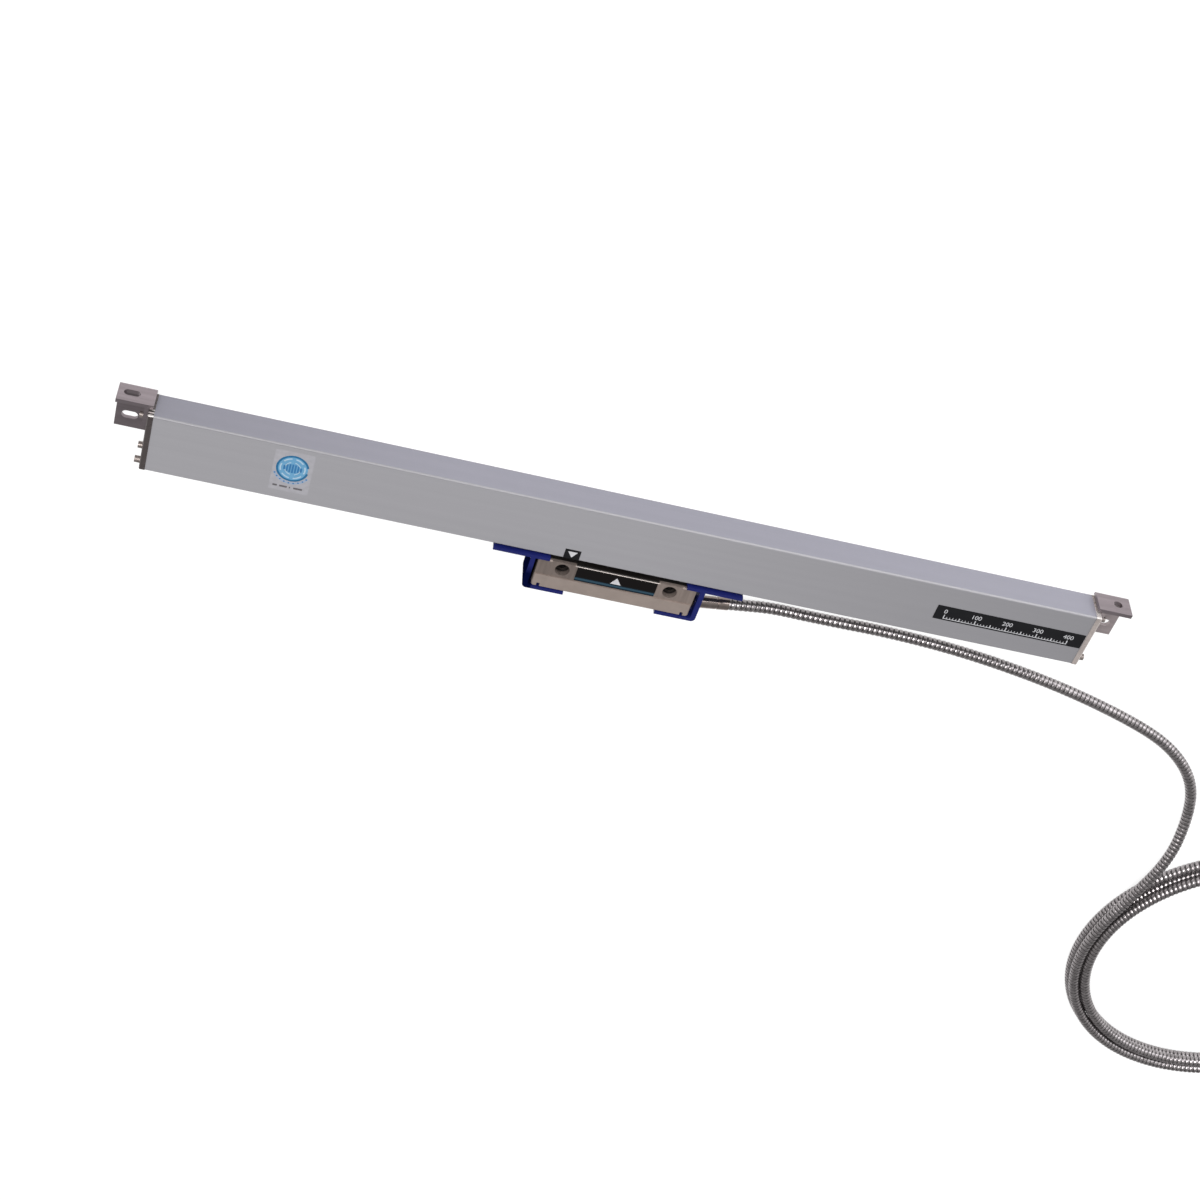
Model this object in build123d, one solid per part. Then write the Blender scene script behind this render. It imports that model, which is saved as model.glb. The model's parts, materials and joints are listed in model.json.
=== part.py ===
"""Sealed linear glass scale: slim housing, sprung scanning carriage, reading head, conduit lead with plug.

X runs along the scale, Y points away from the sealing lips, +Z comes out of the labelled face.
The mounting face lies at Z = 0 and the origin is the middle of the object's footprint.
"""

import os
from math import cos, pi, radians, sin, tan

from build123d import *

# Housing extrusion
travel = 400.0
housing_length = 533.0
housing_height = 37.0
housing_depth = 20.0
housing_wall = 2.0
floor_wall = 3.0
edge_radius = 0.8
back_relief_depth = 0.4
back_relief_height = 19.0

# Slot in the floor and its sealing lips
slot_width = 7.0
lip_foot_depth = 1.3
lip_foot_height = 1.0
lip_groove_y = 1.2
lip_tip_height = 0.5
lip_tip_drop = 0.85
lip_tip_thickness = 0.5
blade_thickness = 2.0
lip_to_blade = 0.3
fit = 0.05

# Glass scale and its channel
glass_thickness = 4.0
glass_height = 20.0
glass_back_z = 6.0
glass_overhang = 35.0
channel_rib = 1.6
channel_depth = 5.8
channel_roof = 1.2
glass_top_gap = 0.3
bedding_thickness = 0.6
bedding_height = 5.0

# Screw ports of the extrusion and the screws of the ends
port_radius = 2.0
port_bore = 1.1
port_inset_y = 3.4
port_inset_z = 3.9
upper_port_z_rear = 4.3
upper_port_drop = 5.0
upper_port_z_front = 13.9
screw_shank = 1.05
screw_length = 11.0
screw_head = 1.9
bracket_screw_head = 1.6
screw_head_height = 3.2
bracket_screw_head_height = 2.0
socket_radius = 0.85
socket_depth = 1.3

# End caps and gaskets
cap_thickness = 3.2
cap_lip = 0.3
cap_bevel = 0.5
gasket_thickness = 0.8
gasket_inset = 0.8

# Mounting brackets
bracket_width = 20.0
bracket_plate = 2.4
bracket_reach = 15.8
bracket_rise = 3.5
bracket_drop = 24.4
bracket_overlap = 2.3
bracket_flange_drop = 16.5
bracket_bend = 1.2
bracket_hole = 2.4
bracket_slot = 8.8
bracket_hole_inset = 7.6
bracket_round_hole = 2.6
top_hole_z = 8.5
back_hole_y = 20.9

# Reading head
head_x = -2.8
head_length = 91.0
head_height = 20.0
head_gap = 3.4
head_back_z = 3.0
head_front_z = 21.0
head_corner = 1.6
head_top_corner = 0.8
head_edge = 0.5
head_rim_bevel = 0.7
head_boss_width = 13.0
head_band = 8.9
head_step = 0.5
head_hole_spacing = 62.0
head_hole_y = -8.6
head_hole = 2.25
head_bore = 4.1
head_bore_depth = 4.4
notch_width = 1.8
notch_height = 2.6
notch_inset = 3.9
notch_depth = 4.2
plate_length = 46.0
plate_height = 9.6
plate_thickness = 1.2
plate_bevel = 2.8
plate_bevel_depth = 0.45
plate_top_y = -4.3
cover_length = 54.0
cover_height = 14.2
cover_thickness = 1.2
cover_top_y = -8.1
cover_screw_inset = 1.7
cover_screw_side_inset = 2.0
cover_screw = 0.8
cover_screw_head = 1.6
cover_screw_length = 5.0
board_end_gap = 3.5
board_side_gap = 1.5
board_thickness = 1.6
board_ledge = 1.0
board_chips = ((-14.0, 6.0), (-3.0, 7.0), (9.0, 5.0))
board_chip_width = 5.0
board_chip_height = 1.4
pocket_floor_z = 9.0
pocket_depth_z = 16.0

# Carrier blade between the head and the carriage
blade_length = 34.0
blade_top_y = 6.2
foot_length = 44.0
foot_width = 8.0
foot_thickness = 2.0
foot_screw_x = 19.6
foot_screw = 0.9
foot_screw_head = 1.8
foot_screw_length = 5.0

# Scanning carriage
carriage_length = 56.0
carriage_gap = 0.5
carriage_port_gap = 1.4
carriage_top_gap = 0.8
carriage_front_z = 16.5
carriage_side_clear = 0.5
roller_radius = 2.5
roller_width = 2.3
roller_bore = 1.0
roller_groove = 0.25
pin_fit = 0.03
roller_clearance = 0.05
roller_side_gap = 0.2
roller_pitch = 44.0
pin_hold = 1.0
pin_cover = 0.25
face_roller_low_rise = 3.5
face_roller_high_drop = 9.2
lamp_rise = 4.1
lamp_gap = 0.4
lamp_radius = 2.0
lamp_length = 2.4
lamp_arm_width = 16.0
lamp_arm_top = 22.5
grating_length = 18.0
grating_height = 7.0
grating_thickness = 1.2
grating_gap = 0.35
detector_gap = 0.15
detector_length = 27.0
detector_board = 1.0
detector_chip_length = 8.0
detector_chip_height = 4.0
detector_chip_thickness = 0.6
wire_radius = 0.4
wire_y = 5.0
wire_start = 8.0
wire_end_inset = 0.5
lug_length = 5.0
lug_width = 3.0
lug_bottom = 3.9
lug_gap = 3.0

# Transit clips
clip_thickness = 2.0
clip_tab_thickness = 1.9
clip_arm = 4.7
clip_relief = 1.8
clip_pad = 4.0
clip_strip = 26.3
clip_over = 6.0
clip_tab = 19.0
clip_gap = 0.15
clip_back_z = 4.0
clip_proud = 0.6
clip_corner = 2.6
clip_notch_clear = 0.8

# Conduit lead: sleeve, grommet and route
conduit_diameter = 7.0
sleeve_diameter = 7.4
sleeve_length = 22.4
sleeve_wall = 0.6
sleeve_droop = 9.0
spigot_radius = 2.5
spigot_length = 8.0
grommet_radius = 3.2
grommet_flange_radius = 3.6
grommet_flange = 0.8
gland_y = -18.1
gland_z = 12.6
lead_wire_radius = 1.8
lead_wire_rise = 1.2
crimp_start = 14.8
crimp_width = 1.2
crimp_depth = 0.3

first_run = 8.0
lead_route = [
    (93.0, -18.9, 3.5),
    (118.0, -19.6, 3.5),
    (170.0, -18.8, 3.5),
    (222.0, -23.0, 3.5),
    (282.0, -34.0, 3.5),
    (340.0, -51.8, 3.5),
    (368.0, -67.3, 3.5),
    (388.5, -89.2, 3.5),
    (398.8, -117.4, 3.5),
]
last_run = 22.0
coil_x = 495.5
coil_y = -241.4
coil_outer = 112.0
coil_top = 108.4
turn_pitch = 7.3
layer_rise = 7.1
coil_chamfer = 1.8
coil_clear = 0.1
coil_in_angle = 172.5
coil_out_angle = -7.5
coil_in_stub = 50.0
coil_out_stub = 40.0
tail_run = 17.0
tail_route = [
    (617.5, -170.0, 7.5),
]
tail_end = (619.0, -150.0, 7.5)
plug_heading = 85.7

# Nine-way plug
hood_width = 31.0
hood_length = 34.0
hood_height = 15.0
hood_corner = 2.0
hood_taper = 9.0
hood_wall = 1.8
boot_length = 14.0
boot_back_radius = 4.4
boot_front_radius = 5.4
boot_collar_radius = 4.3
boot_ring_count = 3
boot_ring_pitch = 3.8
boot_ring_start = 1.6
boot_ring_width = 1.2
boot_ring_wall = 0.3
flange_width = 30.8
flange_height = 12.5
flange_thickness = 1.0
shell_width = 17.0
shell_height = 8.4
shell_reach = 6.0
shell_wall = 0.5
shell_slant = 10.0
insert_recess = 0.3
insert_back = 4.0
socket_pitch = 2.77
socket_row_gap = 2.84
socket_hole = 0.55
thumb_spacing = 25.0
thumb_knob = 2.9
thumb_knob_length = 9.0
thumb_shaft = 1.4
thumb_tip = 5.5
thumb_fit = 0.08
thumb_clear = 0.8
thumb_bevel = 0.4

# Places worked out from the sizes above
half_housing = housing_length / 2
cap_outer_x = half_housing + cap_thickness
mid_z = housing_depth / 2
glass_length = travel + 2 * glass_overhang
glass_top_y = housing_height - housing_wall - channel_roof - glass_top_gap
glass_bottom_y = glass_top_y - glass_height
glass_front_z = glass_back_z + glass_thickness
glass_mid_z = glass_back_z + glass_thickness / 2
bracket_outer_x = cap_outer_x - bracket_overlap + bracket_width
bracket_top_y = housing_height + bracket_rise
bracket_hole_x = bracket_outer_x - bracket_hole_inset
carriage_top = glass_top_y + glass_top_gap - channel_depth - carriage_top_gap
carriage_bar_bottom = port_inset_y + port_radius + carriage_port_gap
head_top_y = -head_gap
head_bottom_y = head_top_y - head_height
head_left_x = head_x - head_length / 2
head_right_x = head_x + head_length / 2
board_length = cover_length - 2 * board_end_gap
board_height = cover_height - 2 * board_side_gap
clip_bottom_y = head_bottom_y - clip_gap - clip_tab_thickness
origin_y = (bracket_top_y + clip_bottom_y) / 2
sleeve_direction = Vector(cos(radians(sleeve_droop)), 0, -sin(radians(sleeve_droop)))
gland_mouth = Vector(head_right_x, gland_y, gland_z)
sleeve_end = gland_mouth + sleeve_direction * (grommet_flange + sleeve_length)
conduit_radius = conduit_diameter / 2
roller_side = roller_width / 2 + roller_side_gap
edge_roller_y = glass_bottom_y - roller_radius - roller_clearance
face_roller_low_y = glass_bottom_y + face_roller_low_rise
face_roller_high_y = glass_top_y - face_roller_high_drop
lamp_y = glass_bottom_y + lamp_rise
face_roller_z = glass_front_z + roller_radius + roller_clearance

nodes = {}


def block(x0, x1, y0, y1, z0, z1):
    """Box between two corners."""
    middle = Pos((x0 + x1) / 2, (y0 + y1) / 2, (z0 + z1) / 2)
    return middle * Box(abs(x1 - x0), abs(y1 - y0), abs(z1 - z0))


def rod(start, direction, radius, length):
    """Cylinder that begins at a point and runs along a direction."""
    plane = Plane(origin=start, z_dir=direction)
    return extrude(plane * Circle(radius), length)


def cone(start, direction, radius_0, radius_1, length):
    """Truncated cone that begins at a point and runs along a direction."""
    plane = Plane(origin=start, z_dir=direction)
    return plane * Pos(0, 0, length / 2) * Cone(radius_0, radius_1, length)


def along_x(profile, x0, x1):
    """Extrudes a sketch, drawn as (Y, Z) points, from one X to another."""
    plane = Plane(origin=(x0, 0, 0), x_dir=(0, 1, 0), z_dir=(1, 0, 0))
    return extrude(plane * profile, x1 - x0)


def along_z(profile, z0, z1):
    """Extrudes a sketch, drawn as (X, Y) points, from one Z to another."""
    return extrude(Pos(0, 0, z0) * profile, z1 - z0)


def rectangle(u0, u1, v0, v1):
    """Sketch rectangle between two corners."""
    return Pos((u0 + u1) / 2, (v0 + v1) / 2) * Rectangle(abs(u1 - u0), abs(v1 - v0))


def polygon(points):
    """Filled sketch with straight sides through the points."""
    return make_face(Polyline(*points, close=True))


def group(solids):
    """Like pieces kept together as separate solids."""
    return Compound(children=list(solids))


def port_places():
    """(Y, Z) of the two lower and the two upper screw ports."""
    upper_y = housing_height - upper_port_drop
    lower = [(port_inset_y, port_inset_z), (port_inset_y, housing_depth - port_inset_z)]
    upper = [(upper_y, upper_port_z_rear), (upper_y, upper_port_z_front)]
    return lower, upper


def housing_profile():
    """Cross-section of the extrusion: walls, lip grooves, glass channel and screw ports."""
    outer = Pos(housing_height / 2, mid_z) * RectangleRounded(housing_height, housing_depth, edge_radius)
    cavity_top = housing_height - housing_wall
    cavity = rectangle(floor_wall, cavity_top, housing_wall, housing_depth - housing_wall)
    slot = rectangle(-1, floor_wall + 1, mid_z - slot_width / 2, mid_z + slot_width / 2)
    grooves = rectangle(
        lip_groove_y,
        lip_groove_y + lip_foot_height + 2 * fit,
        mid_z - slot_width / 2 - lip_foot_depth - fit,
        mid_z + slot_width / 2 + lip_foot_depth + fit,
    )
    relief_y = (housing_height - back_relief_height) / 2
    relief = rectangle(relief_y, relief_y + back_relief_height, -1, back_relief_depth)
    front_rib_z = glass_front_z + bedding_thickness
    rib_bottom = glass_top_y + glass_top_gap - channel_depth
    wall_middle = housing_height - housing_wall / 2
    channel_block = rectangle(rib_bottom, wall_middle, glass_back_z - channel_rib, front_rib_z + channel_rib)
    channel = rectangle(rib_bottom - 1, glass_top_y + glass_top_gap, glass_back_z, front_rib_z)
    lower, upper = port_places()
    profile = outer - cavity - slot - relief
    profile += channel_block
    for y, z in lower + upper:
        profile += Pos(y, z) * Circle(port_radius) & outer
    profile -= channel + grooves
    for y, z in lower + upper:
        profile -= Pos(y, z) * Circle(port_bore)
    return profile


def lip(side):
    """One sealing lip: a foot in the housing's groove and a flap that slopes out to the blade."""
    wall_z = slot_width / 2
    tip_z = blade_thickness / 2 + lip_to_blade
    low = lip_groove_y + fit
    high = low + lip_foot_height
    tip = low - lip_tip_drop
    points = [
        (low, wall_z + lip_foot_depth),
        (high, wall_z + lip_foot_depth),
        (high, wall_z),
        (tip + lip_tip_thickness, tip_z),
        (tip, tip_z),
        (low, wall_z),
    ]
    return polygon([(y, mid_z + side * z) for y, z in points])


def make_housing():
    """Extrusion, lips, glass and the strip that beds the glass."""
    nodes["housing_extrusion"] = along_x(housing_profile(), -half_housing, half_housing)
    for name, side in (("sealing_lip_rear", -1), ("sealing_lip_front", 1)):
        nodes[name] = along_x(lip(side), -half_housing, half_housing)
    half_glass = glass_length / 2
    nodes["glass_scale"] = block(
        -half_glass, half_glass, glass_bottom_y, glass_top_y, glass_back_z, glass_front_z
    )
    nodes["glass_bedding_strip"] = block(
        -half_glass,
        half_glass,
        glass_top_y - bedding_height,
        glass_top_y,
        glass_front_z,
        glass_front_z + bedding_thickness,
    )


def screw(x, y, z, side, seat_thickness, head_radius, head_height):
    """Socket-head screw that enters the housing's end."""
    outward = (side, 0, 0)
    inward = (-side, 0, 0)
    head = rod((x, y, z), outward, head_radius, head_height)
    head_top = (x + side * head_height, y, z)
    plane = Plane(origin=head_top, z_dir=inward)
    socket = extrude(plane * RegularPolygon(socket_radius, 6), socket_depth)
    shank = rod((x, y, z), inward, screw_shank, seat_thickness + screw_length)
    return head + shank - socket


def end_parts(side, tag):
    """End cap, gasket and screws of one end; side is the sign of X."""
    lower, upper = port_places()
    inner_x = side * half_housing
    outer_x = side * cap_outer_x
    height = housing_height + 2 * cap_lip
    outline = Pos(housing_height / 2, (housing_depth + cap_lip) / 2) * RectangleRounded(
        height, housing_depth + cap_lip, edge_radius + cap_lip
    )
    cap = along_x(outline, min(inner_x, outer_x), max(inner_x, outer_x))
    outer_face = cap.faces().sort_by_distance((side * housing_length, housing_height / 2, mid_z))[0]
    cap = chamfer(outer_face.edges(), cap_bevel)
    gasket_outline = Pos(housing_height / 2, mid_z) * RectangleRounded(
        housing_height - 2 * gasket_inset, housing_depth - 2 * gasket_inset, edge_radius
    )
    gasket_x = inner_x + side * gasket_thickness
    gasket = along_x(gasket_outline, min(inner_x, gasket_x), max(inner_x, gasket_x))
    cap -= gasket
    for y, z in lower + upper:
        clearance = rod((inner_x - side, y, z), (side, 0, 0), screw_shank + fit, cap_thickness + 2)
        cap -= clearance
        gasket -= clearance
    nodes["end_cap_" + tag] = cap
    nodes["end_gasket_" + tag] = gasket
    nodes["end_cap_screws_" + tag] = group(
        screw(outer_x, y, z, side, cap_thickness, screw_head, screw_head_height) for y, z in lower
    )
    flange_x = outer_x + side * bracket_plate
    seat = cap_thickness + bracket_plate
    nodes["bracket_screws_" + tag] = group(
        screw(flange_x, y, z, side, seat, bracket_screw_head, bracket_screw_head_height)
        for y, z in upper
    )


def bracket(side, slotted):
    """Bracket of three plates: against the cap, flat on the back and along the top."""
    x0 = cap_outer_x
    x1 = bracket_outer_x
    top = bracket_top_y
    under = top - bracket_plate
    back = block(x0, x1, top - bracket_drop - bracket_rise, top, 0, bracket_plate)
    upper = block(x0 - bracket_overlap, x1, under, top, 0, bracket_reach)
    flange = block(x0, x0 + bracket_plate, top - bracket_flange_drop, top, 0, bracket_reach)
    body = back + upper + flange
    inner_edges = body.edges().filter_by(Axis.X).group_by(Axis.Z)[1].sort_by(Axis.Y)[-1:]
    body = fillet(inner_edges, bracket_bend)
    outer_edges = body.edges().filter_by(Axis.X).sort_by(lambda e: e.center().Z - e.center().Y)[0]
    body = fillet(outer_edges, bracket_bend + bracket_plate / 2)
    slot = SlotOverall(bracket_slot, 2 * bracket_hole)
    top_hole = slot if slotted else Circle(bracket_round_hole)
    back_plane = Plane(origin=(bracket_hole_x, back_hole_y, -1), x_dir=(1, 0, 0), z_dir=(0, 0, 1))
    top_plane = Plane(origin=(bracket_hole_x, top + 1, top_hole_z), x_dir=(1, 0, 0), z_dir=(0, -1, 0))
    body -= extrude(back_plane * slot, bracket_plate + 2)
    body -= extrude(top_plane * top_hole, bracket_plate + 2)
    for y, z in port_places()[1]:
        body -= rod((x0 - 1, y, z), (1, 0, 0), screw_shank + fit, bracket_plate + 2)
    return body if side > 0 else mirror(body, Plane.YZ)


def make_ends():
    """Both ends of the housing with their brackets."""
    for side, tag in ((-1, "left"), (1, "right")):
        end_parts(side, tag)
        nodes["mounting_bracket_" + tag] = bracket(side, slotted=side < 0)


def lens_outline(length, width):
    """Pointed boat shape, drawn as (X, Z) points."""
    half_l, half_w = length / 2, width / 2
    upper = ThreePointArc((-half_l, 0), (0, half_w), (half_l, 0))
    lower = ThreePointArc((half_l, 0), (0, -half_w), (-half_l, 0))
    return make_face(upper + lower)


def along_y(profile, y0, y1):
    """Extrudes a sketch, drawn as (X, Z) points about the slot's middle, from one Y to another."""
    plane = Plane(origin=(head_x, y0, mid_z), x_dir=(1, 0, 0), z_dir=(0, 1, 0))
    return extrude(plane * profile, y1 - y0)


def head_screw(x, z):
    """Countersunk screw that holds the blade's foot to the head."""
    head = cone((x, head_top_y, z), (0, -1, 0), foot_screw_head, foot_screw, foot_screw_head - foot_screw)
    return head + rod((x, head_top_y, z), (0, -1, 0), foot_screw, foot_screw_length)


def make_blade():
    """Steel blade that passes the lips, on a foot sunk into the top of the head."""
    foot = block(
        head_x - foot_length / 2,
        head_x + foot_length / 2,
        head_top_y - foot_thickness,
        head_top_y,
        mid_z - foot_width / 2,
        mid_z + foot_width / 2,
    )
    blade = along_y(lens_outline(blade_length, blade_thickness), head_top_y - foot_thickness, blade_top_y)
    blade += foot
    wire_hole = rod((head_x + wire_start, wire_y, mid_z), (1, 0, 0), wire_radius, blade_length)
    screws = [head_screw(head_x + s * foot_screw_x, mid_z) for s in (-1, 1)]
    for s in screws:
        blade -= s
    nodes["carrier_blade"] = blade - wire_hole
    nodes["blade_screws"] = group(screws)
    return foot, screws


def cover_places():
    """(X, Y) of the rear cover's screws."""
    half = cover_length / 2 - cover_screw_inset
    low = cover_top_y - cover_height + cover_screw_side_inset
    high = cover_top_y - cover_screw_side_inset
    return [(head_x + sx * half, y) for sx in (-1, 1) for y in (low, high)]


def cover_screw_solid(x, y):
    """Countersunk screw of the rear cover."""
    start = (x, y, head_back_z)
    head = cone(start, (0, 0, 1), cover_screw_head, cover_screw, cover_screw_head - cover_screw)
    return head + rod(start, (0, 0, 1), cover_screw, cover_screw_length)


def rim_bevels():
    """Bevel along the head's upper front edge, left out beside the two counterbores."""
    z1 = head_front_z - head_step
    corner = polygon(
        [
            (head_top_y - head_rim_bevel, z1 + fit),
            (head_top_y + fit, z1 + fit),
            (head_top_y + fit, z1 - head_rim_bevel),
        ]
    )
    inner = (head_hole_spacing - head_boss_width) / 2
    outer = (head_hole_spacing + head_boss_width) / 2
    spans = [(-head_length / 2 - 1, -outer), (-inner, inner), (outer, head_length / 2 + 1)]
    return [along_x(corner, head_x + a, head_x + b) for a, b in spans]


def make_head():
    """Die-cast head with counterbored holes, label recess, board pocket and gland bore."""
    foot, foot_screws = make_blade()
    x0, x1 = head_left_x, head_right_x
    body = block(x0, x1, head_bottom_y, head_top_y, head_back_z, head_front_z)
    upright = body.edges().filter_by(Axis.Z).sort_by(Axis.Y)
    body = fillet(upright[:2], head_corner)
    upright = body.edges().filter_by(Axis.Z).sort_by(Axis.Y)
    body = fillet(upright[-2:], head_top_corner)
    body = chamfer(body.faces().sort_by(Axis.Z)[-1].edges(), head_edge)
    band_y = head_bottom_y + head_band
    body -= block(x0 - 1, x1 + 1, band_y, head_top_y + 1, head_front_z - head_step, head_front_z + 1)

    body -= rim_bevels()

    plate_z1 = head_front_z - head_step + plate_thickness / 2
    plate_z0 = plate_z1 - plate_thickness
    plate_y0 = plate_top_y - plate_height
    plate = block(
        head_x - plate_length / 2, head_x + plate_length / 2, plate_y0, plate_top_y, plate_z0, plate_z1
    )
    recess = block(
        head_x - plate_length / 2 - fit,
        head_x + plate_length / 2 + fit,
        plate_y0 - fit,
        plate_top_y + fit,
        plate_z0,
        head_front_z + 1,
    )
    body -= recess
    lower_edge = plate.faces().sort_by(Axis.Z)[-1].edges().sort_by(Axis.Y)[0]
    nodes["head_label_plate"] = chamfer(lower_edge, plate_bevel_depth, plate_bevel)

    for s in (-1, 1):
        hole_x = head_x + s * head_hole_spacing / 2
        body -= rod((hole_x, head_hole_y, head_back_z - 1), (0, 0, 1), head_hole, head_front_z)
        bore_z = head_front_z - head_step - head_bore_depth
        body -= rod((hole_x, head_hole_y, bore_z), (0, 0, 1), head_bore, head_front_z)
        notch_x = head_x + s * (head_length / 2 - notch_inset)
        body -= block(
            notch_x - notch_width / 2,
            notch_x + notch_width / 2,
            head_bottom_y - 1,
            head_bottom_y + notch_height,
            head_front_z - notch_depth,
            head_front_z + 1,
        )

    cover_y0 = cover_top_y - cover_height
    half_cover = cover_length / 2
    cover = block(
        head_x - half_cover, head_x + half_cover, cover_y0, cover_top_y, head_back_z, head_back_z + cover_thickness
    )
    body -= block(
        head_x - half_cover - fit,
        head_x + half_cover + fit,
        cover_y0 - fit,
        cover_top_y + fit,
        head_back_z - 1,
        head_back_z + cover_thickness,
    )
    board_y = (cover_y0 + cover_top_y) / 2
    half_board = board_length / 2
    body -= block(
        head_x - half_board - fit,
        head_x + half_board + fit,
        board_y - board_height / 2 - fit,
        board_y + board_height / 2 + fit,
        head_back_z,
        pocket_floor_z,
    )
    body -= block(
        head_x - half_board + board_ledge,
        head_x + half_board - board_ledge,
        board_y - board_height / 2 + board_ledge,
        board_y + board_height / 2 - board_ledge,
        head_back_z,
        pocket_depth_z,
    )
    screws = [cover_screw_solid(x, y) for x, y in cover_places()]
    for s in screws:
        body -= s
        cover -= s
    nodes["head_rear_cover"] = cover
    nodes["head_cover_screws"] = group(screws)
    make_board(board_y, half_board)

    body -= foot
    for s in foot_screws:
        body -= s
    inward = sleeve_direction * -1
    mouth = gland_mouth + sleeve_direction
    body -= rod(mouth, inward, grommet_radius, spigot_length + 1)
    wire_bore = head_right_x - head_x - half_board + 2 * board_ledge
    body -= rod((head_right_x, gland_y, gland_z + lead_wire_rise), (-1, 0, 0), lead_wire_radius, wire_bore)
    nodes["head_block"] = body


def make_board(board_y, half_board):
    """Signal board with its chips, resting on the pocket's ledge."""
    z1 = pocket_floor_z
    z0 = z1 - board_thickness
    y0, y1 = board_y - board_height / 2, board_y + board_height / 2
    board = block(head_x - half_board, head_x + half_board, y0, y1, z0, z1)
    half_chip = board_chip_width / 2
    for dx, size in board_chips:
        board += block(
            head_x + dx - size / 2,
            head_x + dx + size / 2,
            board_y - half_chip,
            board_y + half_chip,
            z1,
            z1 + board_chip_height,
        )
    nodes["signal_board"] = board


def roller(centre, axis):
    """Miniature bearing seen as one ring: rounded rim, bore on its pin, shallow face grooves."""
    start = Vector(centre) - Vector(axis) * (roller_width / 2)
    ring = rod(start, axis, roller_radius, roller_width)
    ring = chamfer(ring.edges().filter_by(GeomType.CIRCLE), roller_groove)
    ring -= rod(start - Vector(axis), axis, roller_bore + pin_fit, roller_width + 2)
    return ring


def roller_places():
    """Name, centre and axis of the two edge rollers and the three face rollers."""
    half = roller_pitch / 2
    along = [(-half, "left"), (half, "right")]
    edge = [("edge_roller_" + t, (head_x + dx, edge_roller_y, glass_mid_z), (0, 0, 1)) for dx, t in along]
    face = [("face_roller_" + t, (head_x + dx, face_roller_low_y, face_roller_z), (0, 1, 0)) for dx, t in along]
    middle = [("face_roller_middle", (head_x, face_roller_high_y, face_roller_z), (0, 1, 0))]
    return edge, face + middle


def make_carriage():
    """Carriage that straddles the glass: lamp behind it, grating and detector before it."""
    half = carriage_length / 2
    x0, x1 = head_x - half, head_x + half
    bar_top = glass_bottom_y - carriage_gap
    front_z0 = glass_front_z + carriage_gap
    arm_z0 = housing_wall + carriage_side_clear
    arm_z1 = glass_back_z - lamp_gap
    frame = block(x0, x1, carriage_bar_bottom, carriage_top, front_z0, carriage_front_z)
    bar_z0 = glass_mid_z - roller_side - pin_hold - pin_cover
    frame += block(x0, x1, carriage_bar_bottom, bar_top, bar_z0, carriage_front_z)
    arm_half = lamp_arm_width / 2
    frame += block(head_x - arm_half, head_x + arm_half, carriage_bar_bottom, lamp_arm_top, arm_z0, arm_z1)
    frame += block(head_x - arm_half, head_x + arm_half, carriage_bar_bottom, bar_top, arm_z0, mid_z)
    lug_x1 = head_x + blade_length / 2 + lug_gap + lug_length
    frame += block(
        lug_x1 - lug_length,
        lug_x1,
        lug_bottom,
        carriage_bar_bottom,
        mid_z - lug_width / 2,
        mid_z + lug_width / 2,
    )

    edge, face = roller_places()
    pins = []
    side = roller_side
    reach = roller_radius + 2 * roller_side_gap
    for name, (x, y, z), axis in edge:
        frame -= block(x - reach, x + reach, y - reach, bar_top + 1, z - side, z + side)
        pin_length = 2 * (side + pin_hold)
        pins.append(rod((x, y, z - pin_length / 2), axis, roller_bore, pin_length))
        nodes[name] = roller((x, y, z), axis)
    for name, (x, y, z), axis in face:
        frame -= block(x - reach, x + reach, y - side, y + side, front_z0 - 1, z + reach)
        pin_length = 2 * (side + pin_hold)
        pins.append(rod((x, y - pin_length / 2, z), axis, roller_bore, pin_length))
        nodes[name] = roller((x, y, z), axis)
    for pin in pins:
        frame -= pin
    nodes["roller_pins"] = group(pins)

    lamp_z0 = arm_z1 - lamp_length
    lamp = rod((head_x, lamp_y, lamp_z0), (0, 0, 1), lamp_radius, lamp_length)
    frame -= lamp
    nodes["scanning_lamp"] = lamp

    grating_z0 = glass_front_z + grating_gap
    grating_z1 = grating_z0 + grating_thickness
    half_g = grating_length / 2
    g_y0, g_y1 = lamp_y - grating_height / 2, lamp_y + grating_height / 2
    nodes["index_grating"] = block(head_x - half_g, head_x + half_g, g_y0, g_y1, grating_z0, grating_z1)
    chip_z1 = grating_z1 + detector_gap + detector_chip_thickness
    frame -= block(head_x - half_g, head_x + half_g, g_y0, g_y1, front_z0 - 1, carriage_front_z + 1)
    half_d = detector_length / 2
    frame -= block(
        head_x - half_d - fit, head_x + half_d + fit, g_y0 - fit, g_y1 + fit, chip_z1, carriage_front_z + 1
    )
    board = block(head_x - half_d, head_x + half_d, g_y0, g_y1, chip_z1, chip_z1 + detector_board)
    half_c, half_h = detector_chip_length / 2, detector_chip_height / 2
    board += block(
        head_x - half_c, head_x + half_c, lamp_y - half_h, lamp_y + half_h, chip_z1 - detector_chip_thickness, chip_z1
    )
    nodes["detector_board"] = board

    wire_length = lug_x1 - head_x - wire_start - wire_end_inset
    wire = rod((head_x + wire_start, wire_y, mid_z), (1, 0, 0), wire_radius, wire_length)
    nodes["coupling_wire"] = wire
    nodes["scanning_carriage"] = frame - wire


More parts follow.
